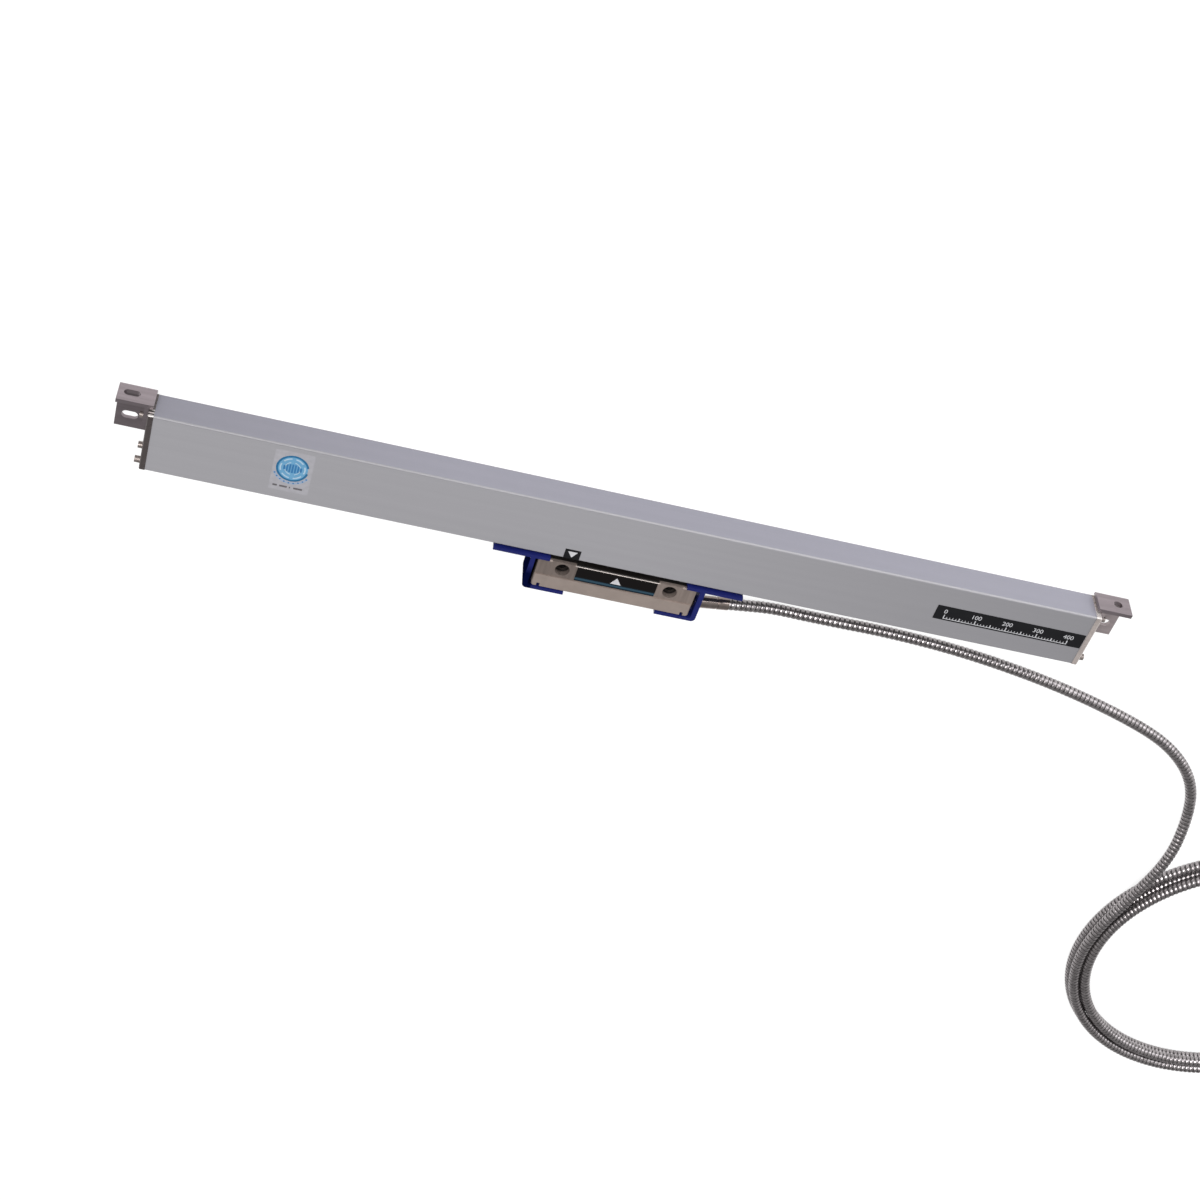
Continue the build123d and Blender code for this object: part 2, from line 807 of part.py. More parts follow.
def clip_profile():
    """C-shaped outline of a transit clip, drawn for the left end of the head."""
    end = head_left_x - clip_gap
    arm_x = end - clip_arm
    top = head_top_y + clip_gap + clip_thickness
    strip_bottom = head_top_y + clip_gap
    tab_top = head_bottom_y - clip_gap
    tab_bottom = tab_top - clip_tab_thickness
    outline = rectangle(head_left_x - clip_strip, head_left_x + clip_over, strip_bottom, top)
    outline += rectangle(arm_x, head_left_x + clip_tab, tab_bottom, top)
    outline -= rectangle(end, head_left_x + clip_tab + 1, tab_top, strip_bottom)
    outline -= rectangle(head_left_x + clip_over, head_left_x + clip_tab + 1, strip_bottom - 1, top + 1)
    inner = outline.vertices().sort_by_distance((end, tab_top))[0]
    outline = fillet(inner, head_corner + clip_gap)
    outer = outline.vertices().sort_by_distance((arm_x, tab_bottom))[0]
    return fillet(outer, clip_corner)


def make_clips():
    """Transit clips on both ends of the head; the right one is open for the cable sleeve."""
    left = along_z(clip_profile(), clip_back_z, head_front_z + clip_proud)
    end = head_left_x - clip_gap
    relief = rectangle(end - clip_relief, head_x, head_bottom_y - clip_gap, head_top_y + clip_gap)
    inner = relief.vertices().sort_by_distance((end - clip_relief, head_bottom_y))[0]
    relief = fillet(inner, head_corner)
    left -= along_z(relief, clip_back_z + clip_pad, head_front_z + clip_proud + 1)
    nodes["transit_clip_left"] = left
    right = mirror(left, Plane(origin=(head_x, 0, 0), z_dir=(1, 0, 0)))
    notch = sleeve_diameter / 2 + clip_notch_clear
    right -= block(
        head_right_x,
        head_right_x + clip_arm + 1,
        gland_y - notch,
        gland_y + notch,
        clip_back_z - 1,
        gland_z + notch,
    )
    nodes["transit_clip_right"] = right


def make_gland():
    """Rubber grommet and the crimped sleeve that ends the conduit at the head."""
    inward = sleeve_direction * -1
    face = gland_mouth + sleeve_direction * grommet_flange
    grommet = rod(face, inward, grommet_radius, grommet_flange + spigot_length)
    in_head = block(
        head_right_x - spigot_length, head_right_x, head_bottom_y, head_top_y, head_back_z, head_front_z
    )
    grommet += rod(face, inward, grommet_flange_radius, grommet_flange) - in_head
    grommet -= rod(face + sleeve_direction, inward, spigot_radius, spigot_length + grommet_flange + 2)
    nodes["cable_grommet"] = grommet
    sleeve = rod(face, sleeve_direction, sleeve_diameter / 2, sleeve_length)
    sleeve += rod(face, inward, spigot_radius, grommet_flange + spigot_length)
    rim = sleeve.edges().filter_by(GeomType.CIRCLE).sort_by_distance(tuple(face))
    sleeve = chamfer([e for e in rim if abs(e.radius - sleeve_diameter / 2) < 0.01][0], sleeve_wall / 2)
    crimp = face + sleeve_direction * crimp_start
    ring = rod(crimp, sleeve_direction, sleeve_diameter, crimp_width)
    core = rod(crimp - sleeve_direction, sleeve_direction, sleeve_diameter / 2 - crimp_depth, crimp_width + 2)
    sleeve -= ring - core
    nodes["cable_sleeve"] = sleeve


def circle_point(angle, radius, z):
    """Point on one of the coil's circles."""
    return Vector(coil_x + radius * cos(radians(angle)), coil_y + radius * sin(radians(angle)), z)


def corner_radii(points):
    """Arc radius for each inner corner: 0.45 of the shorter run over the tangent of half the turn."""
    radii = []
    for before, here, after in zip(points, points[1:], points[2:]):
        run_in, run_out = here - before, after - here
        turn = run_in.get_angle(run_out)
        radii.append(0.45 * min(run_in.length, run_out.length) / tan(radians(turn) / 2))
    return radii


def tube(name, points):
    """Round tube along straight runs joined by tangent arcs."""
    points = [Vector(p) for p in points]
    radii = corner_radii(points)
    path = FilletPolyline(*points, radius=radii)
    start = Plane(origin=path @ 0, z_dir=path % 0)
    solid = sweep(start * Circle(conduit_radius), path=path)
    expected = pi * conduit_radius**2 * path.length
    print(name, "length", round(path.length, 1), "radii", [round(r) for r in radii])
    print(name, "volume over section times length", round(solid.volume / expected, 4))
    nodes[name] = solid
    return path.length


def make_lead():
    """Conduit from the sleeve to the coil, the coil's outer shape, and the tail to the plug."""
    low_z = conduit_radius + coil_clear
    high_z = low_z + layer_rise
    in_point = circle_point(coil_in_angle, coil_top, high_z)
    in_back = Vector(sin(radians(coil_in_angle)), -cos(radians(coil_in_angle)), 0)
    stub_in = in_point + in_back * coil_in_stub
    out_point = circle_point(coil_out_angle, coil_outer, low_z)
    out_ahead = Vector(-sin(radians(coil_out_angle)), cos(radians(coil_out_angle)), 0)
    stub_out = out_point + out_ahead * coil_out_stub

    inner = coil_outer - 2 * turn_pitch - conduit_radius - coil_clear
    outer = coil_outer + conduit_radius + coil_clear
    height = layer_rise + conduit_diameter + 2 * coil_clear
    section = Pos((inner + outer) / 2, height / 2) * Rectangle(outer - inner, height)
    section = chamfer(section.vertices(), coil_chamfer)
    ring_plane = Plane(origin=(coil_x, coil_y, 0), x_dir=(1, 0, 0), z_dir=(0, -1, 0))
    ring_axis = Axis((coil_x, coil_y, 0), (0, 0, 1))
    ring = revolve(ring_plane * section, ring_axis, 360)
    ring += rod(in_point, in_back, conduit_radius, coil_in_stub)
    ring += rod(out_point, out_ahead, conduit_radius, coil_out_stub)
    nodes["cable_coil"] = ring

    from_sleeve = sleeve_end + sleeve_direction * first_run
    first = tube("cable_conduit", [sleeve_end, from_sleeve] + lead_route + [stub_in + in_back * last_run, stub_in])
    last = tube("cable_tail", [stub_out, stub_out + out_ahead * tail_run] + tail_route + [tail_end])
    top_turns = (coil_top - (coil_outer - 2 * turn_pitch)) / turn_pitch
    mean_top = (coil_top + coil_outer - 2 * turn_pitch) / 2
    mean_low = coil_outer - turn_pitch
    wound = 2 * pi * (top_turns * mean_top + 2 * mean_low)
    print("lead length", round(first + last + coil_in_stub + coil_out_stub + wound), "turns", top_turns + 2)


def plug_place():
    """Location of the plug: its X axis runs from the boot to the mating face."""
    return Location(tail_end, (0, 0, plug_heading))


def d_outline(width, height):
    """D-shaped outline with slanted ends, drawn as (Y, Z) points, its long side up."""
    lean = height * tan(radians(shell_slant))
    points = [
        (-width / 2, height / 2),
        (width / 2, height / 2),
        (width / 2 - lean, -height / 2),
        (-width / 2 + lean, -height / 2),
    ]
    shape = polygon(points)
    return fillet(shape.vertices(), height / 4)


def hood_half(side):
    """One half shell of the plug's hood, split at mid height."""
    x0, x1 = boot_length, boot_length + hood_length
    half_w = hood_width / 2
    neck = boot_front_radius + hood_wall
    shoulder = thumb_spacing / 2 - thumb_knob - thumb_clear
    points = [
        (x0, -neck),
        (x0 + hood_taper, -shoulder),
        (x0 + hood_taper, -half_w),
        (x1, -half_w),
        (x1, half_w),
        (x0 + hood_taper, half_w),
        (x0 + hood_taper, shoulder),
        (x0, neck),
    ]
    outer = extrude(polygon(points), hood_height / 2 * side)
    corner = outer.faces().sort_by(Axis.Z)
    top = corner[-1] if side > 0 else corner[0]
    outer = fillet(top.edges(), hood_corner)
    cavity_w = thumb_spacing / 2 - thumb_shaft - hood_wall
    inner_points = [
        (x0 + hood_wall, -neck + hood_wall),
        (x0 + hood_taper + hood_wall, -shoulder + hood_wall),
        (x0 + hood_taper + hood_wall, -cavity_w),
        (x1 - hood_wall, -cavity_w),
        (x1 - hood_wall, cavity_w),
        (x0 + hood_taper + hood_wall, cavity_w),
        (x0 + hood_taper + hood_wall, shoulder - hood_wall),
        (x0 + hood_wall, neck - hood_wall),
    ]
    outer -= extrude(polygon(inner_points), (hood_height / 2 - hood_wall) * side)
    outer -= rod((x0 - 1, 0, 0), (1, 0, 0), boot_collar_radius + fit, hood_wall + 2)
    window = d_outline(shell_width - 2 * shell_wall, shell_height - 2 * shell_wall)
    outer -= along_x(window, x1 - hood_wall - 1, x1 + 1)
    for s in (-1, 1):
        outer -= rod(
            (x0, s * thumb_spacing / 2, 0), (1, 0, 0), thumb_shaft + thumb_fit, hood_length + 2
        )
    return outer


def make_plug():
    """Plug at the lead's end: boot, two-part hood, D-shaped shell, socket block and thumbscrews."""
    place = plug_place()
    x1 = boot_length + hood_length
    boot = cone((0, 0, 0), (1, 0, 0), boot_back_radius, boot_front_radius, boot_length)
    for k in range(boot_ring_count):
        ring_x = boot_ring_start + k * boot_ring_pitch
        cut = rod((ring_x, 0, 0), (1, 0, 0), boot_front_radius + 1, boot_ring_width)
        core = rod((ring_x - 1, 0, 0), (1, 0, 0), conduit_radius + boot_ring_wall, boot_ring_width + 2)
        boot -= cut - core
    boot += rod((boot_length, 0, 0), (1, 0, 0), boot_collar_radius, hood_wall)
    nodes["plug_boot"] = place * boot
    nodes["plug_hood_lower"] = place * hood_half(-1)
    nodes["plug_hood_upper"] = place * hood_half(1)

    flange = block(x1, x1 + flange_thickness, -flange_width / 2, flange_width / 2, -flange_height / 2, flange_height / 2)
    shell_x0 = x1 + flange_thickness
    outline = d_outline(shell_width, shell_height)
    shell = flange + along_x(outline, shell_x0, shell_x0 + shell_reach)
    inner = d_outline(shell_width - 2 * shell_wall, shell_height - 2 * shell_wall)
    shell -= along_x(inner, x1 - 1, shell_x0 + shell_reach + 1)
    for s in (-1, 1):
        shell -= rod((x1 - 1, s * thumb_spacing / 2, 0), (1, 0, 0), thumb_shaft + thumb_fit, flange_thickness + 2)
    nodes["plug_shell"] = place * shell
    block_outline = d_outline(shell_width - 2 * shell_wall - 2 * fit, shell_height - 2 * shell_wall - 2 * fit)
    sockets = along_x(block_outline, x1 - hood_wall - insert_back, shell_x0 + shell_reach - insert_recess)
    for row, count in ((0.5, 5), (-0.5, 4)):
        for k in range(count):
            y = (k - (count - 1) / 2) * socket_pitch
            z = row * socket_row_gap
            sockets -= rod((shell_x0, y, z), (1, 0, 0), socket_hole, shell_reach)
    nodes["plug_socket_block"] = place * sockets
    for s, tag in ((-1, "left"), (1, "right")):
        y = s * thumb_spacing / 2
        knob_x0 = boot_length + hood_taper - thumb_knob_length - thumb_clear / 2
        knob = rod((knob_x0, y, 0), (1, 0, 0), thumb_knob, thumb_knob_length)
        knob = chamfer(knob.edges().filter_by(GeomType.CIRCLE), thumb_bevel)
        shaft_length = x1 + flange_thickness + thumb_tip - knob_x0
        nodes["thumbscrew_" + tag] = place * (knob + rod((knob_x0, y, 0), (1, 0, 0), thumb_shaft, shaft_length))


make_housing()
make_ends()
make_head()
make_carriage()
make_clips()
make_gland()
make_lead()
make_plug()

os.makedirs("parts", exist_ok=True)
for node_name, shape in nodes.items():
    solids = [Pos(0, -origin_y, 0) * solid for solid in shape.solids()]
    placed = solids[0] if len(solids) == 1 else group(solids)
    placed.label = node_name
    export_step(placed, os.path.join("parts", node_name + ".step"))
print(len(nodes), "nodes")
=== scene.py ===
"""Sealed linear scale with its reading head, conduit lead and plug.

Shapes are in millimetres along the scale, away from its lower edge and out of its mounting face,
until `place` turns them into the frame's metres. Finishes work in the frame's metres.
"""

import json
from math import cos, pi, radians, sin

import bmesh
import bpy
from mathutils import Matrix, Vector


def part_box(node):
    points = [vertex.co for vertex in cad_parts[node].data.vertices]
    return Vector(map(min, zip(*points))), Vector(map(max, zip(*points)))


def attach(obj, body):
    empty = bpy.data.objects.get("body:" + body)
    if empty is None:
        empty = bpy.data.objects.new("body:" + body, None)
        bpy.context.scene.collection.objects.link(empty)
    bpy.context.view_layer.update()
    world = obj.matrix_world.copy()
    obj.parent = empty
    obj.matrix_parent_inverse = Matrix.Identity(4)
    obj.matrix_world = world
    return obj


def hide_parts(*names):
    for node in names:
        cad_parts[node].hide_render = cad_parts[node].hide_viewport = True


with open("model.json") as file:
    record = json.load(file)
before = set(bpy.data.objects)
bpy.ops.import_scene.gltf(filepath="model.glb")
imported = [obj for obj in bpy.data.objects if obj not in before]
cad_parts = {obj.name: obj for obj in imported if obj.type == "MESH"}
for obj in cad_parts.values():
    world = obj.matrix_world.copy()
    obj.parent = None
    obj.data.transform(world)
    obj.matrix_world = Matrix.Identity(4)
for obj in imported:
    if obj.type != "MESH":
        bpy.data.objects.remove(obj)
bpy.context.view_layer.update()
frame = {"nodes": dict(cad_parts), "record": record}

MM = 0.001
# Y of the housing's lower edge in metres, and height of its front face in millimetres
LOWER_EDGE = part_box("housing_extrusion")[0][1]
FRONT_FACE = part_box("housing_extrusion")[1][2] / MM


def place(x, y, z):
    """Point of the scale, given in millimetres, in the frame."""
    return Vector((x * MM, LOWER_EDGE + y * MM, z * MM))


def mesh_of(bm, name):
    """Mesh of a finished bmesh, its faces turned outwards."""
    bmesh.ops.recalc_face_normals(bm, faces=bm.faces)
    mesh = bpy.data.meshes.new(name)
    bm.to_mesh(mesh)
    bm.free()
    return mesh


def add_piece(name, mesh, material, body):
    """Puts a mesh in the scene as a piece that rides on a body."""
    mesh.materials.append(material)
    piece = bpy.data.objects.new(name, mesh)
    bpy.context.scene.collection.objects.link(piece)
    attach(piece, body)
    return piece


# Camera at the photograph's angle: place, turn in degrees, lens, and near and far clip in metres
CAMERA_AT = (-219.2, 774.3, 937.5)
CAMERA_TURN = (-42.0214, 0.3511, 15.2169)
CAMERA_LENS = 66.0
CAMERA_SENSOR = 36.0
CAMERA_CLIP = (0.05, 60.0)


def make_camera():
    """The one camera of the scene."""
    data = bpy.data.cameras.new("camera")
    data.lens = CAMERA_LENS
    data.sensor_width = CAMERA_SENSOR
    data.clip_start, data.clip_end = CAMERA_CLIP
    camera = bpy.data.objects.new("camera", data)
    camera.location = place(*CAMERA_AT)
    camera.rotation_euler = [radians(a) for a in CAMERA_TURN]
    bpy.context.scene.collection.objects.link(camera)
    bpy.context.scene.camera = camera


# Conduit lead: the gland that it leaves and how far it falls there in degrees, then its route
CONDUIT_RADIUS = 3.5
GLAND_MOUTH = (42.7, -18.1, 12.6)
SLEEVE_DROOP = 9.0
SLEEVE_REACH = 23.2
FIRST_RUN = 8.0
LEAD_ROUTE = [
    (93.0, -18.9, 3.5),
    (118.0, -19.6, 3.5),
    (170.0, -18.8, 3.5),
    (222.0, -23.0, 3.5),
    (282.0, -34.0, 3.5),
    (340.0, -51.8, 3.5),
    (368.0, -67.3, 3.5),
    (388.5, -89.2, 3.5),
    (398.8, -117.4, 3.5),
]
# Coil: it enters on top at an angle, winds inwards, drops a layer and winds outwards below
COIL_CENTRE = (491.9, -242.4)
COIL_OUTER = 112.0
COIL_TOP = 108.4
TURN_PITCH = 7.3
LOW_Z = 3.6
LAYER_RISE = 7.1
IN_ANGLE = 168.5
IN_RUNS = (72.0, 28.0)
TOP_TURNS = 1.5
LOW_TURNS = 2.0
POINTS_PER_TURN = 24
DROP_POINTS = 4
OUT_RUNS = (28.0, 57.0)
# Tail from the coil to the plug's boot
TAIL_POINT = (617.5, -170.0, 7.5)
TAIL_END = (619.0, -150.0, 7.5)
# Hose: rings of points along a rib and round it, and the groove's depth and share of a rib.
# A band's edges fall by a share of that depth.
LINE_STEPS = 16
RIB_PITCH = 3.0
RIB_STEPS = 5
RIB_SIDES = 16
RIB_GROOVE = 0.45
GROOVE_SHARE = 0.28
BAND_FALL = 0.5

# Plug: the way that it heads, in degrees from X
PLUG_HEADING = 85.7
# Thumbscrews' knobs: start and end of the knurl from the boot's back, and its lines' sizes
KNOB_RUN = (14.3, 21.9)
KNOB_OFFSET = 12.5
KNOB_RADIUS = 2.9
KNURL_COUNT = 22
KNURL_DEPTH = 0.1
KNURL_HEIGHT = 0.14
KNURL_FOOT = 0.5
KNURL_CREST = 0.22
# Corners of a bar's six faces: its near and far end, and there foot and crest, left and right
BAR_FACES = ((0, 1, 3, 2), (4, 6, 7, 5), (0, 4, 5, 1), (2, 3, 7, 6), (0, 2, 6, 4), (1, 5, 7, 3))


def on_coil(angle, radius, z):
    """Point on a circle about the coil's centre."""
    a = radians(angle)
    return Vector((COIL_CENTRE[0] + radius * cos(a), COIL_CENTRE[1] + radius * sin(a), z))


def coil_points():
    """Control points of the wound turns: inwards on top, then outwards below."""
    step = 360.0 / POINTS_PER_TURN
    spread = 1.0 / cos(radians(step / 2))
    inner = COIL_OUTER - LOW_TURNS * TURN_PITCH
    count = int((TOP_TURNS + LOW_TURNS) * POINTS_PER_TURN)
    points = []
    for k in range(count + 1):
        turn = k / POINTS_PER_TURN
        if turn <= TOP_TURNS:
            share = turn / TOP_TURNS
            radius = COIL_TOP + (inner - COIL_TOP) * share
        else:
            share = (turn - TOP_TURNS) / LOW_TURNS
            radius = inner + (COIL_OUTER - inner) * share
        dropping = (turn - TOP_TURNS) * POINTS_PER_TURN + DROP_POINTS
        drop = min(max(dropping, 0.0) / DROP_POINTS, 1.0)
        z = LOW_Z + LAYER_RISE * (1 - drop)
        points.append(on_coil(IN_ANGLE + k * step, radius * spread, z))
    return points


def lead_points():
    """All control points of the lead, from the sleeve to the plug."""
    droop = radians(SLEEVE_DROOP)
    direction = Vector((cos(droop), 0, -sin(droop)))
    mouth = Vector(GLAND_MOUTH)
    points = [mouth + direction * run for run in (SLEEVE_REACH, SLEEVE_REACH + FIRST_RUN)]
    points += [Vector(p) for p in LEAD_ROUTE]
    entry = on_coil(IN_ANGLE, COIL_TOP, LOW_Z + LAYER_RISE)
    back = Vector((sin(radians(IN_ANGLE)), -cos(radians(IN_ANGLE)), 0))
    points += [entry + back * run for run in IN_RUNS]
    points += coil_points()
    out_angle = IN_ANGLE + (TOP_TURNS + LOW_TURNS) * 360.0
    leave = on_coil(out_angle, COIL_OUTER, LOW_Z)
    ahead = Vector((-sin(radians(out_angle)), cos(radians(out_angle)), 0))
    points += [leave + ahead * run for run in OUT_RUNS]
    points += [Vector(TAIL_POINT), Vector(TAIL_END)]
    return [place(*p) for p in points]


def nurbs_line(points):
    """Points along the smooth curve that the control points make."""
    curve = bpy.data.curves.new("lead_line", "CURVE")
    curve.dimensions = "3D"
    curve.resolution_u = LINE_STEPS
    spline = curve.splines.new("NURBS")
    spline.points.add(len(points) - 1)
    for target, point in zip(spline.points, points):
        target.co = (*point, 1.0)
    spline.order_u = 3
    spline.use_endpoint_u = True
    holder = bpy.data.objects.new("lead_line", curve)
    bpy.context.scene.collection.objects.link(holder)
    mesh = bpy.data.meshes.new_from_object(holder)
    line = [v.co.copy() for v in mesh.vertices]
    bpy.data.objects.remove(holder)
    bpy.data.curves.remove(curve)
    bpy.data.meshes.remove(mesh)
    return line


def resample(line, step):
    """Evenly spaced points along a line of straight bits, its two ends kept, and its length."""
    lengths = [(b - a).length for a, b in zip(line, line[1:])]
    total = sum(lengths)
    count = round(total / step)
    result = [line[0].copy()]
    index, passed = 0, 0.0
    for k in range(1, count):
        target = total * k / count
        while passed + lengths[index] < target:
            passed += lengths[index]
            index += 1
        share = (target - passed) / lengths[index]
        result.append(line[index].lerp(line[index + 1], share))
    result.append(line[-1].copy())
    return result, total


def rib_radius(phase):
    """Radius of the interlocked hose at a share of one rib: a rounded band and a narrow groove."""
    band = phase % 1.0
    if band < GROOVE_SHARE:
        return CONDUIT_RADIUS - RIB_GROOVE
    bulge = sin(pi * (band - GROOVE_SHARE) / (1 - GROOVE_SHARE))
    return CONDUIT_RADIUS - RIB_GROOVE * BAND_FALL * (1 - bulge)


def hose_mesh(line):
    """Ribbed tube along a line; the faces of its grooves have the second material, a painted shade.
    """
    mesh = bpy.data.meshes.new("conduit")
    verts, faces, in_groove = [], [], []
    forward = (line[1] - line[0]).normalized()
    side = forward.cross(Vector((0, 0, 1))).normalized()
    for k, point in enumerate(line):
        ahead = line[min(k + 1, len(line) - 1)]
        behind = line[max(k - 1, 0)]
        forward = (ahead - behind).normalized()
        side = (side - forward * side.dot(forward)).normalized()
        up = side.cross(forward)
        for j in range(RIB_SIDES):
            turn = j / RIB_SIDES
            radius = rib_radius(k / RIB_STEPS - turn) * MM
            angle = 2 * pi * turn
            verts.append(point + (side * cos(angle) + up * sin(angle)) * radius)
    for k in range(len(line) - 1):
        for j in range(RIB_SIDES):
            a = k * RIB_SIDES + j
            b = k * RIB_SIDES + (j + 1) % RIB_SIDES
            faces.append((a, b, b + RIB_SIDES, a + RIB_SIDES))
            middle = (k + 0.5) / RIB_STEPS - (j + 0.5) / RIB_SIDES
            in_groove.append(middle % 1.0 < GROOVE_SHARE)
    faces.append(tuple(reversed(range(RIB_SIDES))))
    faces.append(tuple(range(len(verts) - RIB_SIDES, len(verts))))
    mesh.from_pydata([tuple(v) for v in verts], [], faces)
    mesh.update()
    mesh.materials.append(ribbed_steel())
    mesh.materials.append(groove_shade())
    for face in mesh.polygons:
        face.use_smooth = True
    # Groove faces take the painted shade
    for face, dark in zip(mesh.polygons, in_groove):
        face.material_index = int(dark)
    return mesh


def make_lead(knurls):
    """Conduit in one piece, from the sleeve through the coil to the plug's boot."""
    line, total = resample(nurbs_line(lead_points()), RIB_PITCH * MM / RIB_STEPS)
    conduit = bpy.data.objects.new("lead_conduit", hose_mesh(line))
    bpy.context.scene.collection.objects.link(conduit)
    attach(conduit, "reading_head")
    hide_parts("cable_conduit", "cable_coil", "cable_tail")


def knurl_line(bm, axis, ahead, out):
    """One raised line along a knob: a bar whose crest is narrower than its foot."""
    aside = ahead.cross(out)
    foot = (KNOB_RADIUS - KNURL_DEPTH, KNURL_FOOT)
    crest = (KNOB_RADIUS + KNURL_HEIGHT, KNURL_CREST)
    corners = []
    for run in KNOB_RUN:
        for radius, width in (foot, crest):
            for side in (-1, 1):
                point = axis + ahead * run + out * radius + aside * side * width / 2
                corners.append(bm.verts.new(place(*point)))
    for loop in BAR_FACES:
        bm.faces.new([corners[k] for k in loop])


def make_knurls():
    """Raised lines on the thumbscrews' knobs, which turn with them."""
    heading = radians(PLUG_HEADING)
    ahead = Vector((cos(heading), sin(heading), 0))
    across = Vector((-sin(heading), cos(heading), 0))
    up = Vector((0, 0, 1))
    pieces = []
    for side, screw in ((-1, "thumbscrew_left"), (1, "thumbscrew_right")):
        axis = Vector(TAIL_END) + across * side * KNOB_OFFSET
        bm = bmesh.new()
        for k in range(KNURL_COUNT):
            angle = 2 * pi * k / KNURL_COUNT
            knurl_line(bm, axis, ahead, across * cos(angle) + up * sin(angle))
        name = screw + "_knurl"
        steel = frame["nodes"][screw].data.materials[0]
        pieces.append(add_piece(name, mesh_of(bm, name), steel, screw))
    return pieces


# Finishes: outputs of an axis, the values between which most of a noise lies, and the colour
# sockets of a mix node, which come after those of its other types
X, Y, Z = range(3)
NOISE_LOW, NOISE_HIGH = 0.3, 0.7
MIX_FIRST, MIX_SECOND, MIX_RESULT = 6, 7, 2


class Nodes:
    """Short way to build one material's node tree."""

    def __init__(self, name, **values):
        self.material = bpy.data.materials.new(name)
        self.material.use_nodes = True
        self.tree = self.material.node_tree
        self.tree.nodes.clear()
        out = self.tree.nodes.new("ShaderNodeOutputMaterial")
        self.shader = self.tree.nodes.new("ShaderNodeBsdfPrincipled")
        self.link(self.shader.outputs[0], out.inputs[0])
        self.coords = self.tree.nodes.new("ShaderNodeTexCoord").outputs["Object"]
        for key, value in values.items():
            self.shader.inputs[key.replace("_", " ")].default_value = value

    def link(self, source, target):
        """Joins an output to an input."""
        self.tree.links.new(source, target)

    def noise(self, scale, detail=4.0, roughness=0.55, stretch=(1, 1, 1)):
        """Noise whose grains are about 1 / scale metres, stretched along the axes."""
        mapping = self.tree.nodes.new("ShaderNodeMapping")
        mapping.inputs["Scale"].default_value = stretch
        self.link(self.coords, mapping.inputs["Vector"])
        node = self.tree.nodes.new("ShaderNodeTexNoise")
        node.inputs["Scale"].default_value = scale
        node.inputs["Detail"].default_value = detail
        node.inputs["Roughness"].default_value = roughness
        self.link(mapping.outputs[0], node.inputs["Vector"])
        return node.outputs[0]

    def wave(self, scale, direction):
        """Soft bands across one axis, one every 0.314 / scale metres."""
        node = self.tree.nodes.new("ShaderNodeTexWave")
        node.bands_direction = direction
        node.wave_profile = "SIN"
        node.inputs["Scale"].default_value = scale
        self.link(self.coords, node.inputs["Vector"])
        return node.outputs[0]

    def ramp(self, source, stops):
        """Colours along a value; stops are (position, colour) pairs."""
        node = self.tree.nodes.new("ShaderNodeValToRGB")
        elements = node.color_ramp.elements
        elements[0].position, elements[0].color = stops[0][0], (*stops[0][1], 1)
        elements[1].position, elements[1].color = stops[-1][0], (*stops[-1][1], 1)
        for position, colour in stops[1:-1]:
            elements.new(position).color = (*colour, 1)
        self.link(source, node.inputs[0])
        return node.outputs[0]

    def span(self, source, low, high, from_low=NOISE_LOW, from_high=NOISE_HIGH):
        """Maps a value to a range, level beyond its ends."""
        node = self.tree.nodes.new("ShaderNodeMapRange")
        node.inputs["From Min"].default_value = from_low
        node.inputs["From Max"].default_value = from_high
        node.inputs["To Min"].default_value = low
        node.inputs["To Max"].default_value = high
        self.link(source, node.inputs["Value"])
        return node.outputs[0]

    def rise(self, source, start, end, origin=0.0):
        """0 where a value is at start and 1 where it is at end, both counted from an origin."""
        return self.span(source, 0, 1, origin + start, origin + end)

    def colour(self, source, low, high, from_low=NOISE_LOW, from_high=NOISE_HIGH):
        """Base colour that varies between two shades with a value."""
        ramp = self.ramp(source, [(from_low, low), (from_high, high)])
        self.link(ramp, self.shader.inputs["Base Color"])

    def axis(self, index):
        """One coordinate of the surface point in the frame, in metres."""
        node = self.tree.nodes.new("ShaderNodeSeparateXYZ")
        self.link(self.coords, node.inputs[0])
        return node.outputs[index]

    def math(self, operation, *sources):
        """Result of one operation on one value or two."""
        node = self.tree.nodes.new("ShaderNodeMath")
        node.operation = operation
        for source, target in zip(sources, node.inputs):
            self.link(source, target)
        return node.outputs[0]

    def blend(self, factor, first, second):
        """First colour where the factor is 0, second where it is 1."""
        node = self.tree.nodes.new("ShaderNodeMix")
        node.data_type = "RGBA"
        self.link(factor, node.inputs[0])
        self.link(first, node.inputs[MIX_FIRST])
        self.link(second, node.inputs[MIX_SECOND])
        return node.outputs[MIX_RESULT]

    def shades(self, source, colour, low, high):
        """A colour that varies between two factors of itself with a value."""
        stops = [(NOISE_LOW, tint(colour, low)), (NOISE_HIGH, tint(colour, high))]
        return self.ramp(source, stops)

    def fade(self, factor, source, first, second):
        """Blend of two shaded colours, each given as (colour, low, high)."""
        return self.blend(factor, self.shades(source, *first), self.shades(source, *second))

    def base(self, source):
        """Base colour from a colour output."""
        self.link(source, self.shader.inputs["Base Color"])

    def roughness(self, source, low, high):
        """Roughness that varies from low to high with a value."""
        self.link(self.span(source, low, high), self.shader.inputs["Roughness"])

    def bump(self, source, depth, strength):
        """Surface relief of a real depth in millimetres."""
        node = self.tree.nodes.new("ShaderNodeBump")
        node.inputs["Distance"].default_value = depth * MM
        node.inputs["Strength"].default_value = strength
        self.link(source, node.inputs["Height"])
        self.link(node.outputs[0], self.shader.inputs["Normal"])


def tint(colour, factor):
    """A colour made darker or lighter by a factor."""
    return tuple(c * factor for c in colour)


